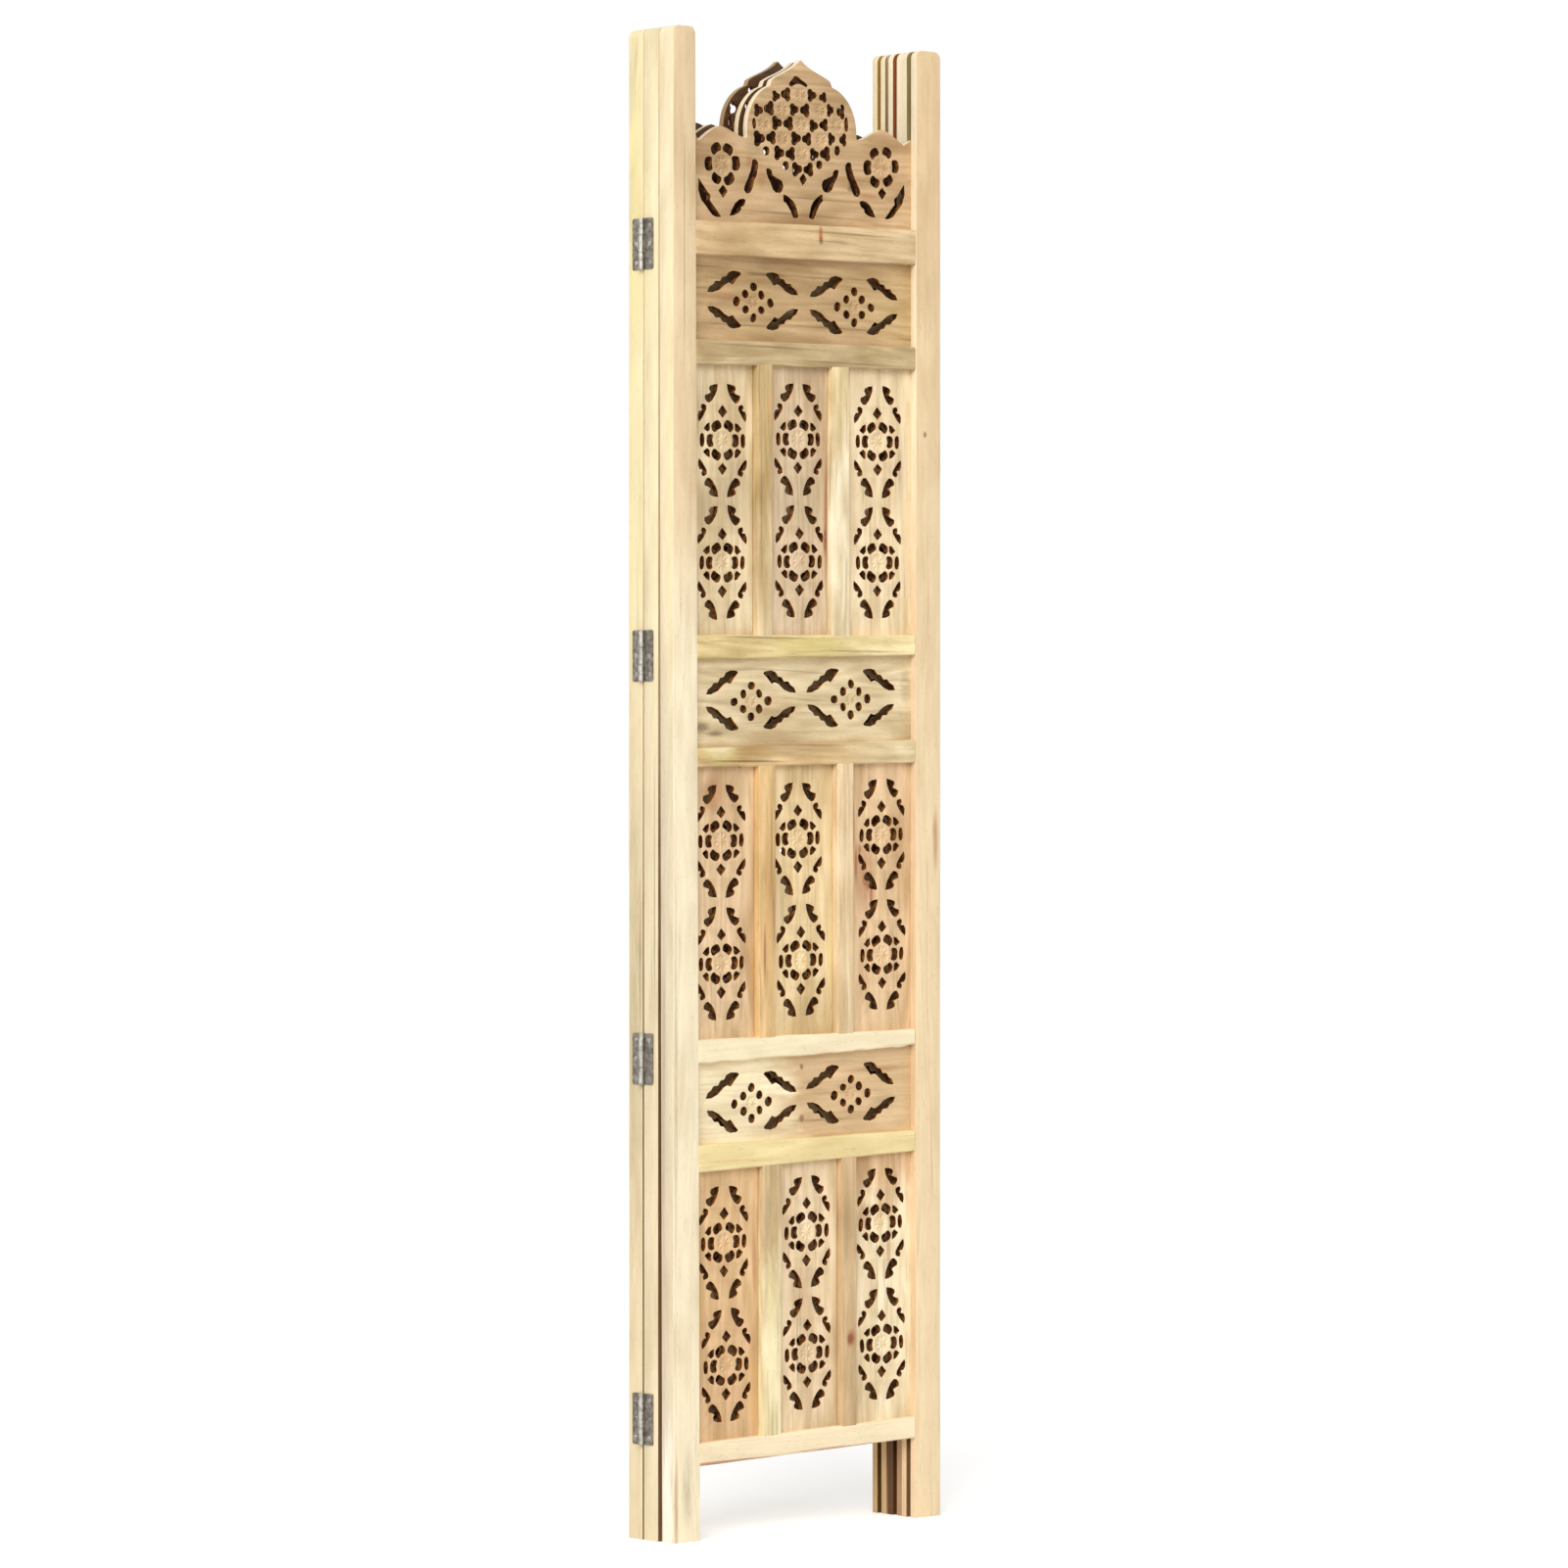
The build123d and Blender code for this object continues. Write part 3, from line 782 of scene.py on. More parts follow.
crestLook = {  # mm from the middle of the top rail's upper edge
    "ogee": ((0, 184), (15, 171), (30, 169), (43.5, 161)),
    "dome": ((46.5, 154.5), (68, 148), (84, 127), (81.8, 98)),
    "shoulder": ((84, 96.5), (95, 97), (108, 107), (121, 109)),
    "shoulderEnd": ((121, 109), (133, 106.5), (143, 98), (154, 92)),
    "horn": (164, 103),
    # middle of the dome's pattern, pitch of its flowers, and how far up round that middle it reaches
    "cluster": 112.3, "honeycomb": 33, "patternTop": 48, "same": 3,  # closer than this, two holes are one
    "trefoil": (8.9, 0.45),  # radius, and the depth of its notches
    "rim": (72, 70, 3.2, 6.6),  # from here on there is room for narrow holes only: place, half sizes
    "squeeze": {"front": (40, 0.76)},  # the dome's pattern was drawn narrower from here on
    "domeFoot": 75, "domeSide": 82,
    "chevron": ((-18, 156.8), (-14.2, 160.6), (-9.2, 166), (-4.2, 165.4), (0.8, 161.7), (7.8, 158),
        (11, 154.7), (7.8, 153), (2.8, 155.7), (-2.2, 157), (-7.2, 156.8), (-12.2, 154.4), (-16.2, 154)),
    "rimHoles": ((54, 82.5, 5.0), (25.5, 66.5, 5.0)),  # place aside and up, and radius
    "soft": {"chevron": 1.6, "tail": 1.4, "leaf": 1.2},  # radius of the corners
    "tail": ((0, 59), (6, 52), (0, 44.5), (-6, 52)),
    "shoulderFlower": (119.7, 66.5), "shoulderPetal": (19.8, 6.7, 8.0, 0.35),  # place, half sizes, cusp
    "shoulderTail": ((0, -23.2), (6.9, -30), (0, -37.8), (-6.9, -30)),
    "leaves": (
        ((154, 50.5), (155, 38), (151.5, 27.5), (144.5, 20), (137.5, 12), (131, 9.3), (124.8, 9.5),
            (130, 15.5), (135, 21.5), (140, 27), (138.3, 32.3), (142.8, 35.8), (148.8, 44)),
        ((85, 27.5), (88.3, 29.4), (95, 28.4), (101.2, 24.4), (105.2, 18.8), (109.5, 10.8),
            (102.6, 11.8), (97, 13.8), (92.6, 16.6), (92.2, 20.3), (87.8, 22)),
        ((74, 72), (69.5, 72.8), (65.6, 69), (65.5, 64), (67.5, 58.5), (69, 54), (72, 50.5), (73.5, 46),
            (76, 40.5), (79.5, 36.2), (84.5, 35.6), (88.4, 40), (86.2, 45.5), (81.5, 52.5), (77.5, 60),
            (75.2, 66)),
        ((55, 62.5), (50, 63.2), (46.3, 60.5), (45.5, 56), (38, 53), (31, 50.2), (29.2, 46),
            (30.5, 40.2), (34, 37.2), (40, 37.2), (44.7, 40.3), (46.7, 44), (48.2, 48), (51.8, 52.3),
            (53.8, 57)),
        ((29, 35.7), (25, 34.5), (20, 31.2), (14.7, 27), (11.3, 22), (9.6, 16), (7.6, 9.3), (11, 7.6),
            (16.2, 7.8), (18.2, 12), (19.8, 16.5), (22.2, 19.3), (23.7, 22.8), (26.7, 25.8), (30, 28))),
    # how single cut-outs stray, in the order of crestHoles: aside, up, scale
    "strays": {
        "front": {
            0: (-1.5, -1, 0.85), 1: (-4, -0.5, 0.95), 2: (-2, -0.1, 0.85), 3: (-0.5, 1, 1),
            4: (-0.5, 1.5, 0.95), 5: (-2, 0.5, 0.9), 6: (-3.5, 0, 0.9), 7: (-3, 0, 0.95),
            8: (-2, 0, 0.9), 9: (2, 0.5, 0.95), 12: (4.2, 1, 1.25), 13: (-0.5, -1.5, 1.05),
            14: (-3, 0.5, 0.9), 15: (-4.6, 0, 0.87), 16: (-2, 1.5, 0.9), 17: (1.5, 0.5, 0.95),
            18: (0, 1.5, 1), 19: (-0.5, 0.5, 1), 20: (2, -1.5, 0.9), 21: (-1, 0, 0.9), 22: (2, 0.5, 1.1),
            23: (2.2, 1.4, 0.96), 24: (-5, -2, 0.75), 25: (-3.5, 1, 1.05), 26: (0, -2.5, 0.8),
            27: (2.6, 1.6, 0.98), 28: (-0.5, 0.6, 0.98), 30: (1.5, 1.5, 1.1), 31: (-1, 2, 0.95),
            32: (0, 1.5, 0.95), 33: (-1.5, -0.5, 0.9), 34: (-1, -2, 0.9), 35: (-1, 0, 1.1),
            36: (-1, 1.5, 0.95), 37: (-1, 3, 0.95), 38: (0, 1.5, 1), 39: (-1.5, -1.5, 1),
            40: (-1, -0.5, 1), 41: (-1.5, -1.5, 1.03), 42: (-1, 0.5, 1), 44: (0, 0, 1), 45: (0, 0, 0.95),
            46: (0, 1.5, 1.05), 47: (-1, -1, 0.95), 48: (1.5, 0, 0.95), 49: (1, 1, 1),
            50: (1.5, 2.6, 0.9), 51: (0.5, 2, 1), 52: (0.5, 1, 1.05), 53: (1, 0.5, 1.1),
            54: (-0.5, -0.5, 1.05)},
        "middle": {13: (-1.4, -0.8, 0.9), 20: (1.4, -0.8, 0.9)},
        "rear": {7: (0, -0.3, 0.92), 13: (-1.2, -0.8, 0.92), 20: (1.2, -0.8, 0.92), 27: (0.4, -0.3, 0.94)}},
    "tilt": {"front": 1.7, "middle": 0, "rear": 0},  # degrees that the pattern leans to the left
    "stray": {"front": (0, 0), "middle": (6, 0), "rear": (6, 3)},  # how far the crest sits aside and up
    # the middle and rear crests' dark brown is painted shade: their front faces stand in the narrow gap
    # behind the front crest, and their back faces take backTimber
    "timber": {"front": ("c2a176", ("d0ae82", 60, 110)), "middle": "573719", "rear": "573719"},
    "backTimber": "dcc094",
    "edgeTimber": {"front": "f0dfbe", "middle": "ecd9b5", "rear": "a98a60"},  # of its sawn outer edge
    "contrast": 1.2, "edgeContrast": 0.5,
    "marks": (("streak", -64, 1492, 8, 12), ("streak", -82, 1510, 6, 8), ("streak", 96, 1482, 20, 5),
        ("smudge", -75, 1525, 12, 12), ("line", 0, 1455, 120, 1.6), ("line", 20, 1474, 60, 1.4),
        ("dark", 70, 1492, 5, 7)),
    "rosette": 8.2, "shoulderRosette": 11,
}


def crestOutline():
    look = crestLook
    half = []
    for name in ("ogee", "dome", "shoulder", "shoulderEnd"):
        curve = interpolate_bezier(*[Vector((*p, 0)) for p in look[name]], 12)
        half += [Vector((p.x, p.y)) for p in (curve[1:] if name == "shoulderEnd" else curve)]
    end = openingHalf + tongue
    half += [Vector(look["horn"]), Vector((end, look["horn"][1]))]
    return half, end


def crestHoles():
    look = crestLook
    holes, rosettes, seen = [], [], []
    pitch, lift = look["honeycomb"], look["cluster"]
    slope = pitch * cos(pi / 6)
    middles = [(0, 0), (0, pitch), (0, -pitch), (2 * slope, 0), (-2 * slope, 0)]
    middles += [(flipX * slope, flipY * pitch / 2) for flipX in (1, -1) for flipY in (1, -1)]
    for x, y in middles:
        rosettes.append((x, y + lift, look["rosette"]))
        for k in range(6):
            angle = pi / 3 * k
            at = Vector((x + pitch / 3 ** 0.5 * cos(angle), y + pitch / 3 ** 0.5 * sin(angle)))
            if at.y > look["patternTop"] or any((at - other).length < look["same"] for other in seen):
                continue
            seen.append(at)
            limit, place, halfWide, halfHigh = look["rim"]
            if abs(at.x) > limit:
                holes.append(moved(petalHole(halfWide, halfHigh), place if at.x > 0 else -place, lift))
            else:
                holes.append(moved(trefoilHole(*look["trefoil"], angle), at.x, at.y + lift))
    soft = look["soft"]
    holes += [rounded(look[name], soft[name]) for name in ("chevron", "tail")]
    for flip in (1, -1):
        for x, y, radius in look["rimHoles"]:
            holes.append(moved(petalHole(radius, radius, 0, 2.2), flip * x, y))
        flowerX, flowerY = look["shoulderFlower"]
        rosettes.append((flip * flowerX, flowerY, look["shoulderRosette"]))
        ring, halfOut, halfWide, cusp = look["shoulderPetal"]
        for k in range(6):
            angle = pi / 3 * k
            petal = petalHole(halfOut, halfWide, cusp, turn=angle)
            holes.append(moved(petal, flip * flowerX + ring * cos(angle), flowerY + ring * sin(angle)))
        holes.append(moved(rounded(look["shoulderTail"], soft["tail"]), flip * flowerX, flowerY))
        holes += [rounded(flipped(leaf, flip, 1), soft["leaf"]) for leaf in look["leaves"]]
    return holes, rosettes


def addDisc(bm, rings, spokes, pointAt, index=0):
    # a round face; pointAt turns (share of the radius, angle) into a point; gives its outermost ring
    rows = []
    for ring in range(rings + 1):
        turns = [2 * pi * spoke / spokes for spoke in range(spokes if ring else 1)]
        rows.append([bm.verts.new(pointAt(ring / rings, angle)) for angle in turns])
    for spoke in range(spokes):
        following = (spoke + 1) % spokes
        bm.faces.new((rows[0][0], rows[1][spoke], rows[1][following])).material_index = index
        for inner, outer in zip(rows[1:], rows[2:]):
            face = bm.faces.new((inner[spoke], outer[spoke], outer[following], inner[following]))
            face.material_index = index
    return rows[-1]


carvingLook = {
    "ease": 0.3, "hollow": 1.9, "rim": -0.25,  # mm
    "petals": 8, "rings": 8,
    "button": (0.26, -0.15, 0.5),  # share of the radius, its height, and how much its edge drops
    "swell": (0.66, 0.7),  # share of the radius that a petal takes, and how full it is
    "overlap": 0.2,  # mm into the board around it
}


def addRosette(bm, place, radius, index):
    # a flower cut with a gouge: hollow petals round a button, its rim level with the board
    look = carvingLook
    button, top, drop = look["button"]
    reach, fullness = look["swell"]

    def pointAt(t, angle):
        if t < button:
            lift = top - drop * (t / button) ** 2
        else:
            swell = sin(pi * min(1, (t - button) / reach)) ** fullness
            lift = look["rim"] - look["hollow"] * swell * sin(look["petals"] * angle / 2) ** 2
        return place(t * radius * cos(angle), t * radius * sin(angle), lift)

    addDisc(bm, look["rings"], 6 * look["petals"], pointAt, index)


def circle(radius, x, y, count=24):
    return [Vector((x + radius * cos(2 * pi * k / count), y + radius * sin(2 * pi * k / count)))
            for k in range(count)]


# how far up a face's normal points: under the first it stands in a wall, over the second it lies flat
facing = {"wall": 0.3, "flat": 0.8}
rimReach = 1  # mm from a cut-out's outline within which a standing face is its wall


def cutSheet(name, outlines, holes, rounds, thickness, ease, wallIndex, edgeIndex=None):
    # a flat sheet with eased edges, lying in the XY plane; outline i gets material i, the walls of the
    # holes the wall's and, where one is given, the sheet's own outer edge another
    curve = bpy.data.curves.new(name, "CURVE")
    curve.dimensions = "2D"
    curve.fill_mode = "BOTH"
    curve.extrude = thickness / 2 - ease
    curve.bevel_depth = ease
    curve.bevel_resolution = 1
    curve.offset = -ease
    for outline in outlines + holes + rounds:
        spline = curve.splines.new("POLY")
        spline.points.add(len(outline) - 1)
        for point, at in zip(spline.points, outline):
            point.co = (at.x, at.y, 0, 1)
        spline.use_cyclic_u = True
    shape = newObject(name, curve)
    bpy.context.view_layer.update()
    flat = bpy.data.meshes.new_from_object(shape)
    bpy.data.objects.remove(shape)
    bpy.data.curves.remove(curve)
    bm = bmesh.new()
    bm.from_mesh(flat)
    bpy.data.meshes.remove(flat)
    bmesh.ops.remove_doubles(bm, verts=bm.verts, dist=weld)
    rims = KDTree(sum(len(hole) for hole in holes))
    for hole in holes:
        for near, far in zip(hole, hole[1:] + hole[:1]):
            rims.insert((*near.lerp(far, 0.5), 0), 0)
    rims.balance()
    edges = [max(p.x for p in outline) for outline in outlines]
    for face in bm.faces:
        x, y, _ = face.calc_center_median()
        if holes and abs(face.normal.z) < facing["wall"] and rims.find((x, y, 0))[2] < rimReach:
            face.material_index = wallIndex
        elif edgeIndex and abs(face.normal.z) < facing["flat"]:
            face.material_index = edgeIndex
        else:
            face.material_index = next((i for i, edge in enumerate(edges) if x <= edge), 0)
    return bm


def buildBoard(panel, node, outlines, holes, rosettes, middle, materials, edgeIndex=None, backIndex=None):
    rounds = [circle(radius, x, y) for x, y, radius in rosettes]
    bm = cutSheet(node, outlines, holes, rounds, boardThickness, carvingLook["ease"], len(materials) - 1,
                  edgeIndex)
    for face in bm.faces:
        if backIndex and face.material_index == 0 and face.normal.z < -facing["flat"]:
            face.material_index = backIndex
    y = panelY[panel]
    for vert in bm.verts:
        vert.co = settle(panel, vert.co.x, y - vert.co.z, middle + vert.co.y)
    edges = [max(p.x for p in outline) for outline in outlines]
    for face in (1, -1):
        for x, height, radius in rosettes:

            def place(u, v, lift):
                return settle(panel, x + u, y - face * (boardThickness / 2 + lift), middle + height + v)

            index = next(i for i, edge in enumerate(edges) if x <= edge)
            index = backIndex if backIndex and face < 0 else index
            addRosette(bm, place, radius + carvingLook["overlap"], index)
    newPiece(f"{node}_carved", bm, f"{panel}_panel", node, materials)


def rectangle(left, right, bottom, top):
    return [Vector(p) for p in ((left, bottom), (right, bottom), (right, top), (left, top))]


def buildSlats(panel, level, seed):
    node = f"{panel}_{level}_slats"
    chance = random.Random(seed)
    middle, half = middleAndHalf(node)
    look = fieldLook
    strayX, strayY = look["otherDrift"]
    spare = look["edgeWood"]
    isFront = panel == "front"
    (leftX, leftWidth), (rightX, rightWidth) = fieldBattens(panel, level)
    gapLeft, gapRight = look["joint"]
    spans = ((-openingHalf - tongue, leftX - leftWidth / 2 - gapRight),
             (leftX + leftWidth / 2 + gapLeft, rightX - rightWidth / 2 - gapRight),
             (rightX + rightWidth / 2 + gapLeft, openingHalf + tongue))
    outlines, holes, rosettes, materials = [], [], [], []
    for number, (left, right) in enumerate(spans):
        outlines.append(rectangle(left, right, -half, half))
        for flip in (1, -1):
            aside, up = chance.uniform(-strayX, strayX), chance.uniform(-strayY, strayY)
            if isFront:
                aside, up = look["medallionDrift"][level][number][(1 - flip) // 2]
            x = (number - 1) * slatPitch + aside
            y = flip * slatLook["medallionLift"] + up
            for hole in slatMedallion(x, y, chance):
                holes.append([Vector((min(right - spare, max(left + spare, p.x)), p.y)) for p in hole])
            rosettes.append((x, y, slatLook["rosette"]))
        timber = look["slatTimber"][level][number] if isFront else look["otherSlats"][number]
        marks = slatMarks.get((level, number), ()) if isFront else ()
        materials.append(mangoWood(timber, "Z", seed + number, look["slatContrast"], marks))
    buildBoard(panel, node, outlines, holes, rosettes, middle, materials + [sawn])


def buildFrieze(panel, level, seed):
    node = f"{panel}_{level}_frieze"
    chance = random.Random(seed)
    middle, half = middleAndHalf(node)
    look = friezeLook
    isFront = panel == "front"
    drifts = look["drift"][level] if isFront else ((0, 0), (0, 0))
    slotLift = look["slotLift"][level] if isFront else 0
    outline = rectangle(-openingHalf - tongue, openingHalf + tongue, -half, half)
    holes, rosettes = [], []
    for side, (aside, up) in zip((-1, 1), drifts):
        x = side * look["medallionPitch"] / 2 + aside
        holes += friezeMedallion(x, up, chance, slotLift)
        rosettes.append((x, up, look["rosette"]))
    timber = look["timber"][level] if isFront else look["otherTimber"]
    marks = look["marks"][level] if isFront else ()
    wood = mangoWood(timber, "X", seed, look["contrast"][level], marks)
    buildBoard(panel, node, [outline], holes, rosettes, middle, [wood, sawn])


def buildCrest(panel, seed):
    node = f"{panel}_crest"
    chance = random.Random(seed)
    look = crestLook
    base = zSpan(f"{panel}_top_rail")[1]
    lean = Matrix.Rotation(radians(look["tilt"][panel]), 2)
    half, end = crestOutline()
    stray = Vector(look["stray"][panel])
    mirrored = [Vector((-p.x, p.y)) for p in half]
    right, left = [[lean @ p + stray for p in side[:-2]] + side[-2:] for side in (half, mirrored)]
    outline = right + [Vector((end, -tongue)), Vector((-end, -tongue))] + left[::-1][:-1]
    holes, rosettes = crestHoles()
    limit, share = look["squeeze"].get(panel, (0, 1))

    def drawn(p, x):
        # x tells whether the whole hole belongs to the dome's pattern
        inSqueezed = limit < p.x and limit < x < look["domeSide"] and p.y > look["domeFoot"]
        return lean @ Vector((along(limit, p.x, share) if inSqueezed else p.x, p.y)) + stray

    holes = [[drawn(p, sum(q.x for q in hole) / len(hole)) for p in handCut(hole, chance)]
             for hole in holes]
    for number, (aside, up, scale) in look["strays"].get(panel, {}).items():
        hole = holes[number]
        center = middleOf(hole)
        holes[number] = [center + Vector((aside, up)) + (p - center) * scale for p in hole]
    rosettes = [(*drawn(Vector((x, y)), x), radius) for x, y, radius in rosettes]
    marks = look["marks"] if panel == "front" else ()
    # for the middle and rear crests this timber is painted shade on the front faces; their back faces are
    # pale
    wood = mangoWood(look["timber"][panel], "X", seed, look["contrast"], marks)
    edge = mangoWood(look["edgeTimber"][panel], "X", seed + 10, look["edgeContrast"])
    back = mangoWood(look["backTimber"], "X", seed + 20)
    buildBoard(panel, node, [outline], holes, rosettes, base, [wood, edge, back, sawn], 1, 2)


for number, panel in enumerate(panels):
    for step, level in enumerate(levels):
        buildSlats(panel, level, 600 + 20 * number + 3 * step)
        buildFrieze(panel, level, 700 + 20 * number + step)
    buildCrest(panel, 800 + number)
print("carved boards built")


# butt hinges: leaves with rolled knuckles on a pin, held by cross-slot screws

hingeLook = {
    # mm; axisOut is how far the pin's middle stands out from the posts
    "axisOut": 3.25, "barrel": 3.0, "bore": 1.7, "pin": 1.6, "plate": 1.5, "play": 0.4,
    "cornerRadius": 2.6, "ease": 0.25, "chamfer": 0.25,
    # middle of the lowest and of the highest hinge, over the foot of its rail
    "aboveBottomRail": 47, "aboveTopRail": 9.5,
    "pinEnd": ((0.5, 0), (0.9, 0.2), (1, 0.5)),  # share of the pin's radius, and mm from its end
    "screwRow": 6.2,  # from the far edge of a leaf
    "screwStep": 20.5, "screwHole": 1.8, "screwTip": -6,
    "headRadius": 2.7, "headRise": 0.8, "headRound": 2.4,  # the last: how flat the dome is
    "slot": (0.45, 1.7, 0.7),  # half width, reach and depth
}
leafLow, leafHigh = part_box("left_hinge_leaves_rear")
leafReach = leafHigh.y / mm - (panelY["middle"] + panelY["rear"]) / 2
hingeHeights = [zSpan(f"middle_{rail}")[0] for rail in ("bottom_rail", "rail_5", "rail_3", "top_rail")]
hingeHeights[0] += hingeLook["aboveBottomRail"]
hingeHeights[-1] += hingeLook["aboveTopRail"]
hingeHeight = (leafHigh.z - leafLow.z) / mm - (hingeHeights[-1] - hingeHeights[0])


def onHinge(side, z):
    # turns (out from the post, towards the rear leaf's far edge, up) into a point
    flip = -1 if side == "left" else 1
    axisY = (panelY["middle"] + panelY["rear"]) / 2

    def place(out, reach, up):
        return Vector((flip * (panelHalf + out), -flip * (axisY + reach), z + up)) * mm

    return place


def addTurned(bm, place, profile, index=0, count=20):
    # a turned form round the hinge's axis; profile is (radius, height), its ends capped unless they meet
    turns = [2 * pi * k / count for k in range(count)]
    out = hingeLook["axisOut"]
    rows = [[bm.verts.new(place(out + radius * cos(a), radius * sin(a), up)) for a in turns]
            for radius, up in profile]
    bridge(bm, rows, [index] * count, index if profile[0] != profile[-1] else None)


def knuckleProfile(low, high):
    outer, bore, chamfer = (hingeLook[name] for name in ("barrel", "bore", "chamfer"))
    return [(bore, low), (outer - chamfer, low), (outer, low + chamfer), (outer, high - chamfer),
            (outer - chamfer, high), (bore, high), (bore, low)]


def screwPlaces():
    row = leafReach - hingeLook["screwRow"]
    return [(row, step * hingeLook["screwStep"]) for step in (-1, 0, 1)]


def buildLeaves(side, panel, toward, knuckles):
    look = hingeLook
    node = f"{side}_hinge_leaves_{panel}"
    bm = bmesh.new()
    length = (hingeHeight - 2 * look["play"]) / 3
    start = look["barrel"] + look["play"]
    half = hingeHeight / 2
    corners = [(start, -half), (leafReach, -half), (leafReach, half), (start, half)]
    for step in sorted(knuckles, reverse=True):
        middle = step * (length + look["play"])
        tab = [(start, middle + length / 2), (0, middle + length / 2), (0, middle - length / 2),
               (start, middle - length / 2)]
        corners += [corner for corner in tab if abs(corner[1]) < half - 0.1 or corner[0] == 0]
    if 1 in knuckles:  # the outer knuckles are level with the ends of the leaf
        corners.remove((start, half))
        corners.remove((start, -half))
        corners.insert(0, corners.pop())
    outline = []
    for three in withNeighbours(corners):
        before, corner, after = [Vector(p) for p in three]
        isFar = three[1][0] == leafReach
        outline += softCorner(before, corner, after, look["cornerRadius"], 5) if isFar else [corner]
    holes = [circle(look["screwHole"], *at, 16) for at in screwPlaces()]
    for z in hingeHeights:
        place = onHinge(side, z)
        sheet = cutSheet(node, [outline], holes, [], look["plate"], look["ease"], 0)
        for vert in sheet.verts:
            vert.co = place(look["plate"] / 2 + vert.co.z, toward * vert.co.x, vert.co.y)
        flat = bpy.data.meshes.new(node)
        sheet.to_mesh(flat)
        sheet.free()
        bm.from_mesh(flat)
        bpy.data.meshes.remove(flat)
        for step in knuckles:
            middle = step * (length + look["play"])
            addTurned(bm, place, knuckleProfile(middle - length / 2, middle + length / 2), 1)
    newPiece(f"{node}_pressed", bm, f"{panel}_panel", node, [plateSteel, barrelSteel])


def buildPins(side):
    bm = bmesh.new()
    half, radius = hingeHeight / 2, hingeLook["pin"]
    profile = [(radius * share, -half + inset) for share, inset in hingeLook["pinEnd"]]
    profile += [(radius * share, half - inset) for share, inset in reversed(hingeLook["pinEnd"])]
    for z in hingeHeights:
        addTurned(bm, onHinge(side, z), profile)
    node = f"{side}_hinge_pins"
    newPiece(f"{node}_turned", bm, "middle_panel", node, [barrelSteel])


def addScrew(bm, place, reach, up, chance):
    # a domed head with a cross slot
    look = hingeLook
    slotHalf, slotReach, slotDepth = look["slot"]
    spin = chance.uniform(0, pi / 2)

    def pointAt(t, angle):
        u, v = t * look["headRadius"] * cos(angle), t * look["headRadius"] * sin(angle)
        lift = look["plate"] + look["headRise"] * (1 - t ** look["headRound"])
        if min(abs(u), abs(v)) < slotHalf and max(abs(u), abs(v)) < slotReach:
            lift -= slotDepth
        du, dv = u * cos(spin) - v * sin(spin), u * sin(spin) + v * cos(spin)
        return place(lift, reach + du, up + dv)

    rim = addDisc(bm, 9, 24, pointAt)
    tip = bm.verts.new(place(look["screwTip"], reach, up))
    for near, far in zip(rim, rim[1:] + rim[:1]):
        bm.faces.new((near, far, tip))


def buildScrews(side, panel, toward, seed):
    bm = bmesh.new()
    chance = random.Random(seed)
    for z in hingeHeights:
        place = onHinge(side, z)
        for row, up in screwPlaces():
            addScrew(bm, place, toward * row, up, chance)
    newPiece(f"{side}_hinge_screws_{panel}", bm, f"{panel}_panel", None, [screwSteel],
             sharpAngle=40)


for side, outerPanel in (("left", "rear"), ("right", "front")):
    buildLeaves(side, "middle", -1, (-1, 1))
    buildLeaves(side, outerPanel, 1, (0,))
    buildPins(side)
    buildScrews(side, "middle", -1, 900)
    buildScrews(side, outerPanel, 1, 901)
print("hinges built")


# floor, light and camera

studio = {
    "floorColour": "f4f3f1", "floorGlow": 0.34, "floorRoughness": 0.9,
    "floorReach": 40,  # metres each way
    "worldLevel": 0.55,  # light from all round, against 1.0 where the eye meets it
    "keyEnergy": 2.2, "keyAim": (0.66, 0.55, -0.5), "keySoftness": 35,  # degrees
}
white = (1, 1, 1, 1)


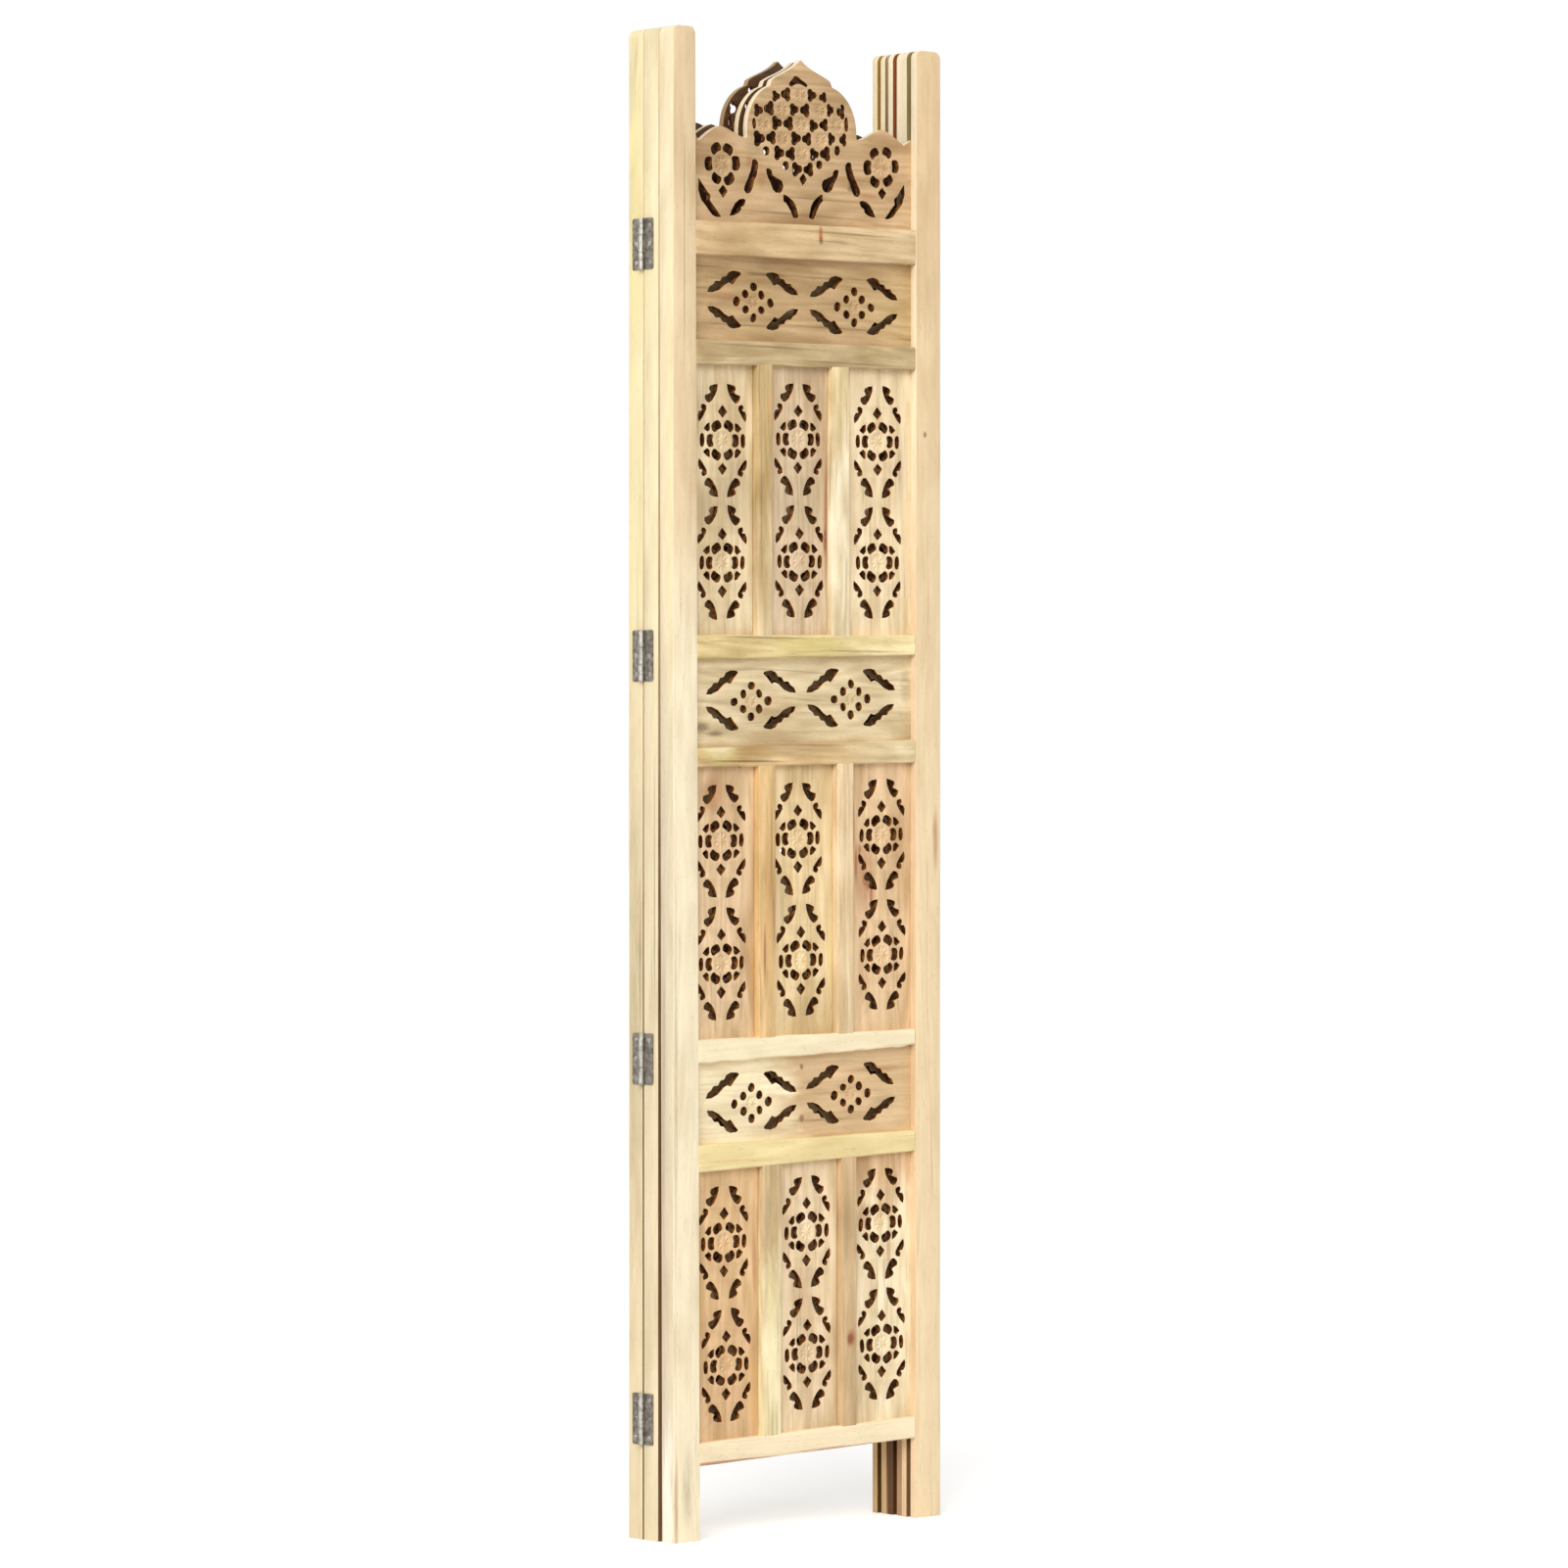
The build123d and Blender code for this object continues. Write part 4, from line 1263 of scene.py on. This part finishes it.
def buildStudio():
    material, tree = newMaterial("paleFloor")
    rays = addNode(tree, "ShaderNodeLightPath")
    glow = addNode(tree, "ShaderNodeMath", {"operation": "MULTIPLY", 1: studio["floorGlow"]},
                   {0: rays.outputs["Is Camera Ray"]})
    shader = addNode(tree, "ShaderNodeBsdfPrincipled",
                     {"Base Color": linear(studio["floorColour"]), "Roughness": studio["floorRoughness"],
                      "Emission Color": white}, {"Emission Strength": glow.outputs[0]})
    toSurface(tree, shader)
    mesh = bpy.data.meshes.new("floor")
    reach = studio["floorReach"]
    mesh.from_pydata([(-reach, -reach, 0), (reach, -reach, 0), (reach, reach, 0), (-reach, reach, 0)], [],
                     [(0, 1, 2, 3)])
    mesh.materials.append(material)
    floor = newObject("floor", mesh)

    world = bpy.data.worlds.new("studio")
    bpy.context.scene.world = world
    world.use_nodes = True
    tree = world.node_tree
    tree.nodes.clear()
    rays = addNode(tree, "ShaderNodeLightPath")
    seen = rays.outputs["Is Camera Ray"]
    for kind in ("Is Glossy Ray", "Is Transmission Ray"):
        seen = addNode(tree, "ShaderNodeMath", {"operation": "MAXIMUM"},
                       {0: seen, 1: rays.outputs[kind]}).outputs[0]
    level = addNode(tree, "ShaderNodeMapRange", {"To Min": studio["worldLevel"], "To Max": 1.0},
                    {"Value": seen})
    background = addNode(tree, "ShaderNodeBackground", {"Color": white}, {"Strength": level.outputs[0]})
    toSurface(tree, background, "ShaderNodeOutputWorld")

    key = bpy.data.lights.new("keyLight", "SUN")
    key.energy = studio["keyEnergy"]
    key.angle = radians(studio["keySoftness"])
    lamp = newObject("keyLight", key)
    lamp.rotation_euler = Vector(studio["keyAim"]).to_track_quat("-Z", "Y").to_euler()


# place, lens and sensor in mm, turn in degrees, farthest view in metres
cameraLook = {"place": (-4740.4, -5234.0, 825.0), "turn": (90, 0, -42.14), "lens": 145.9, "sensor": 36,
              "farthest": 100}


def buildCamera():
    camera = bpy.data.cameras.new("camera")
    camera.lens = cameraLook["lens"]
    camera.sensor_width = cameraLook["sensor"]
    camera.clip_end = cameraLook["farthest"]
    view = newObject("camera", camera)
    view.location = Vector(cameraLook["place"]) * mm
    view.rotation_euler = [radians(a) for a in cameraLook["turn"]]
    bpy.context.scene.camera = view


buildStudio()
buildCamera()
bpy.context.scene.view_settings.view_transform = "Standard"
print("studio and camera ready")
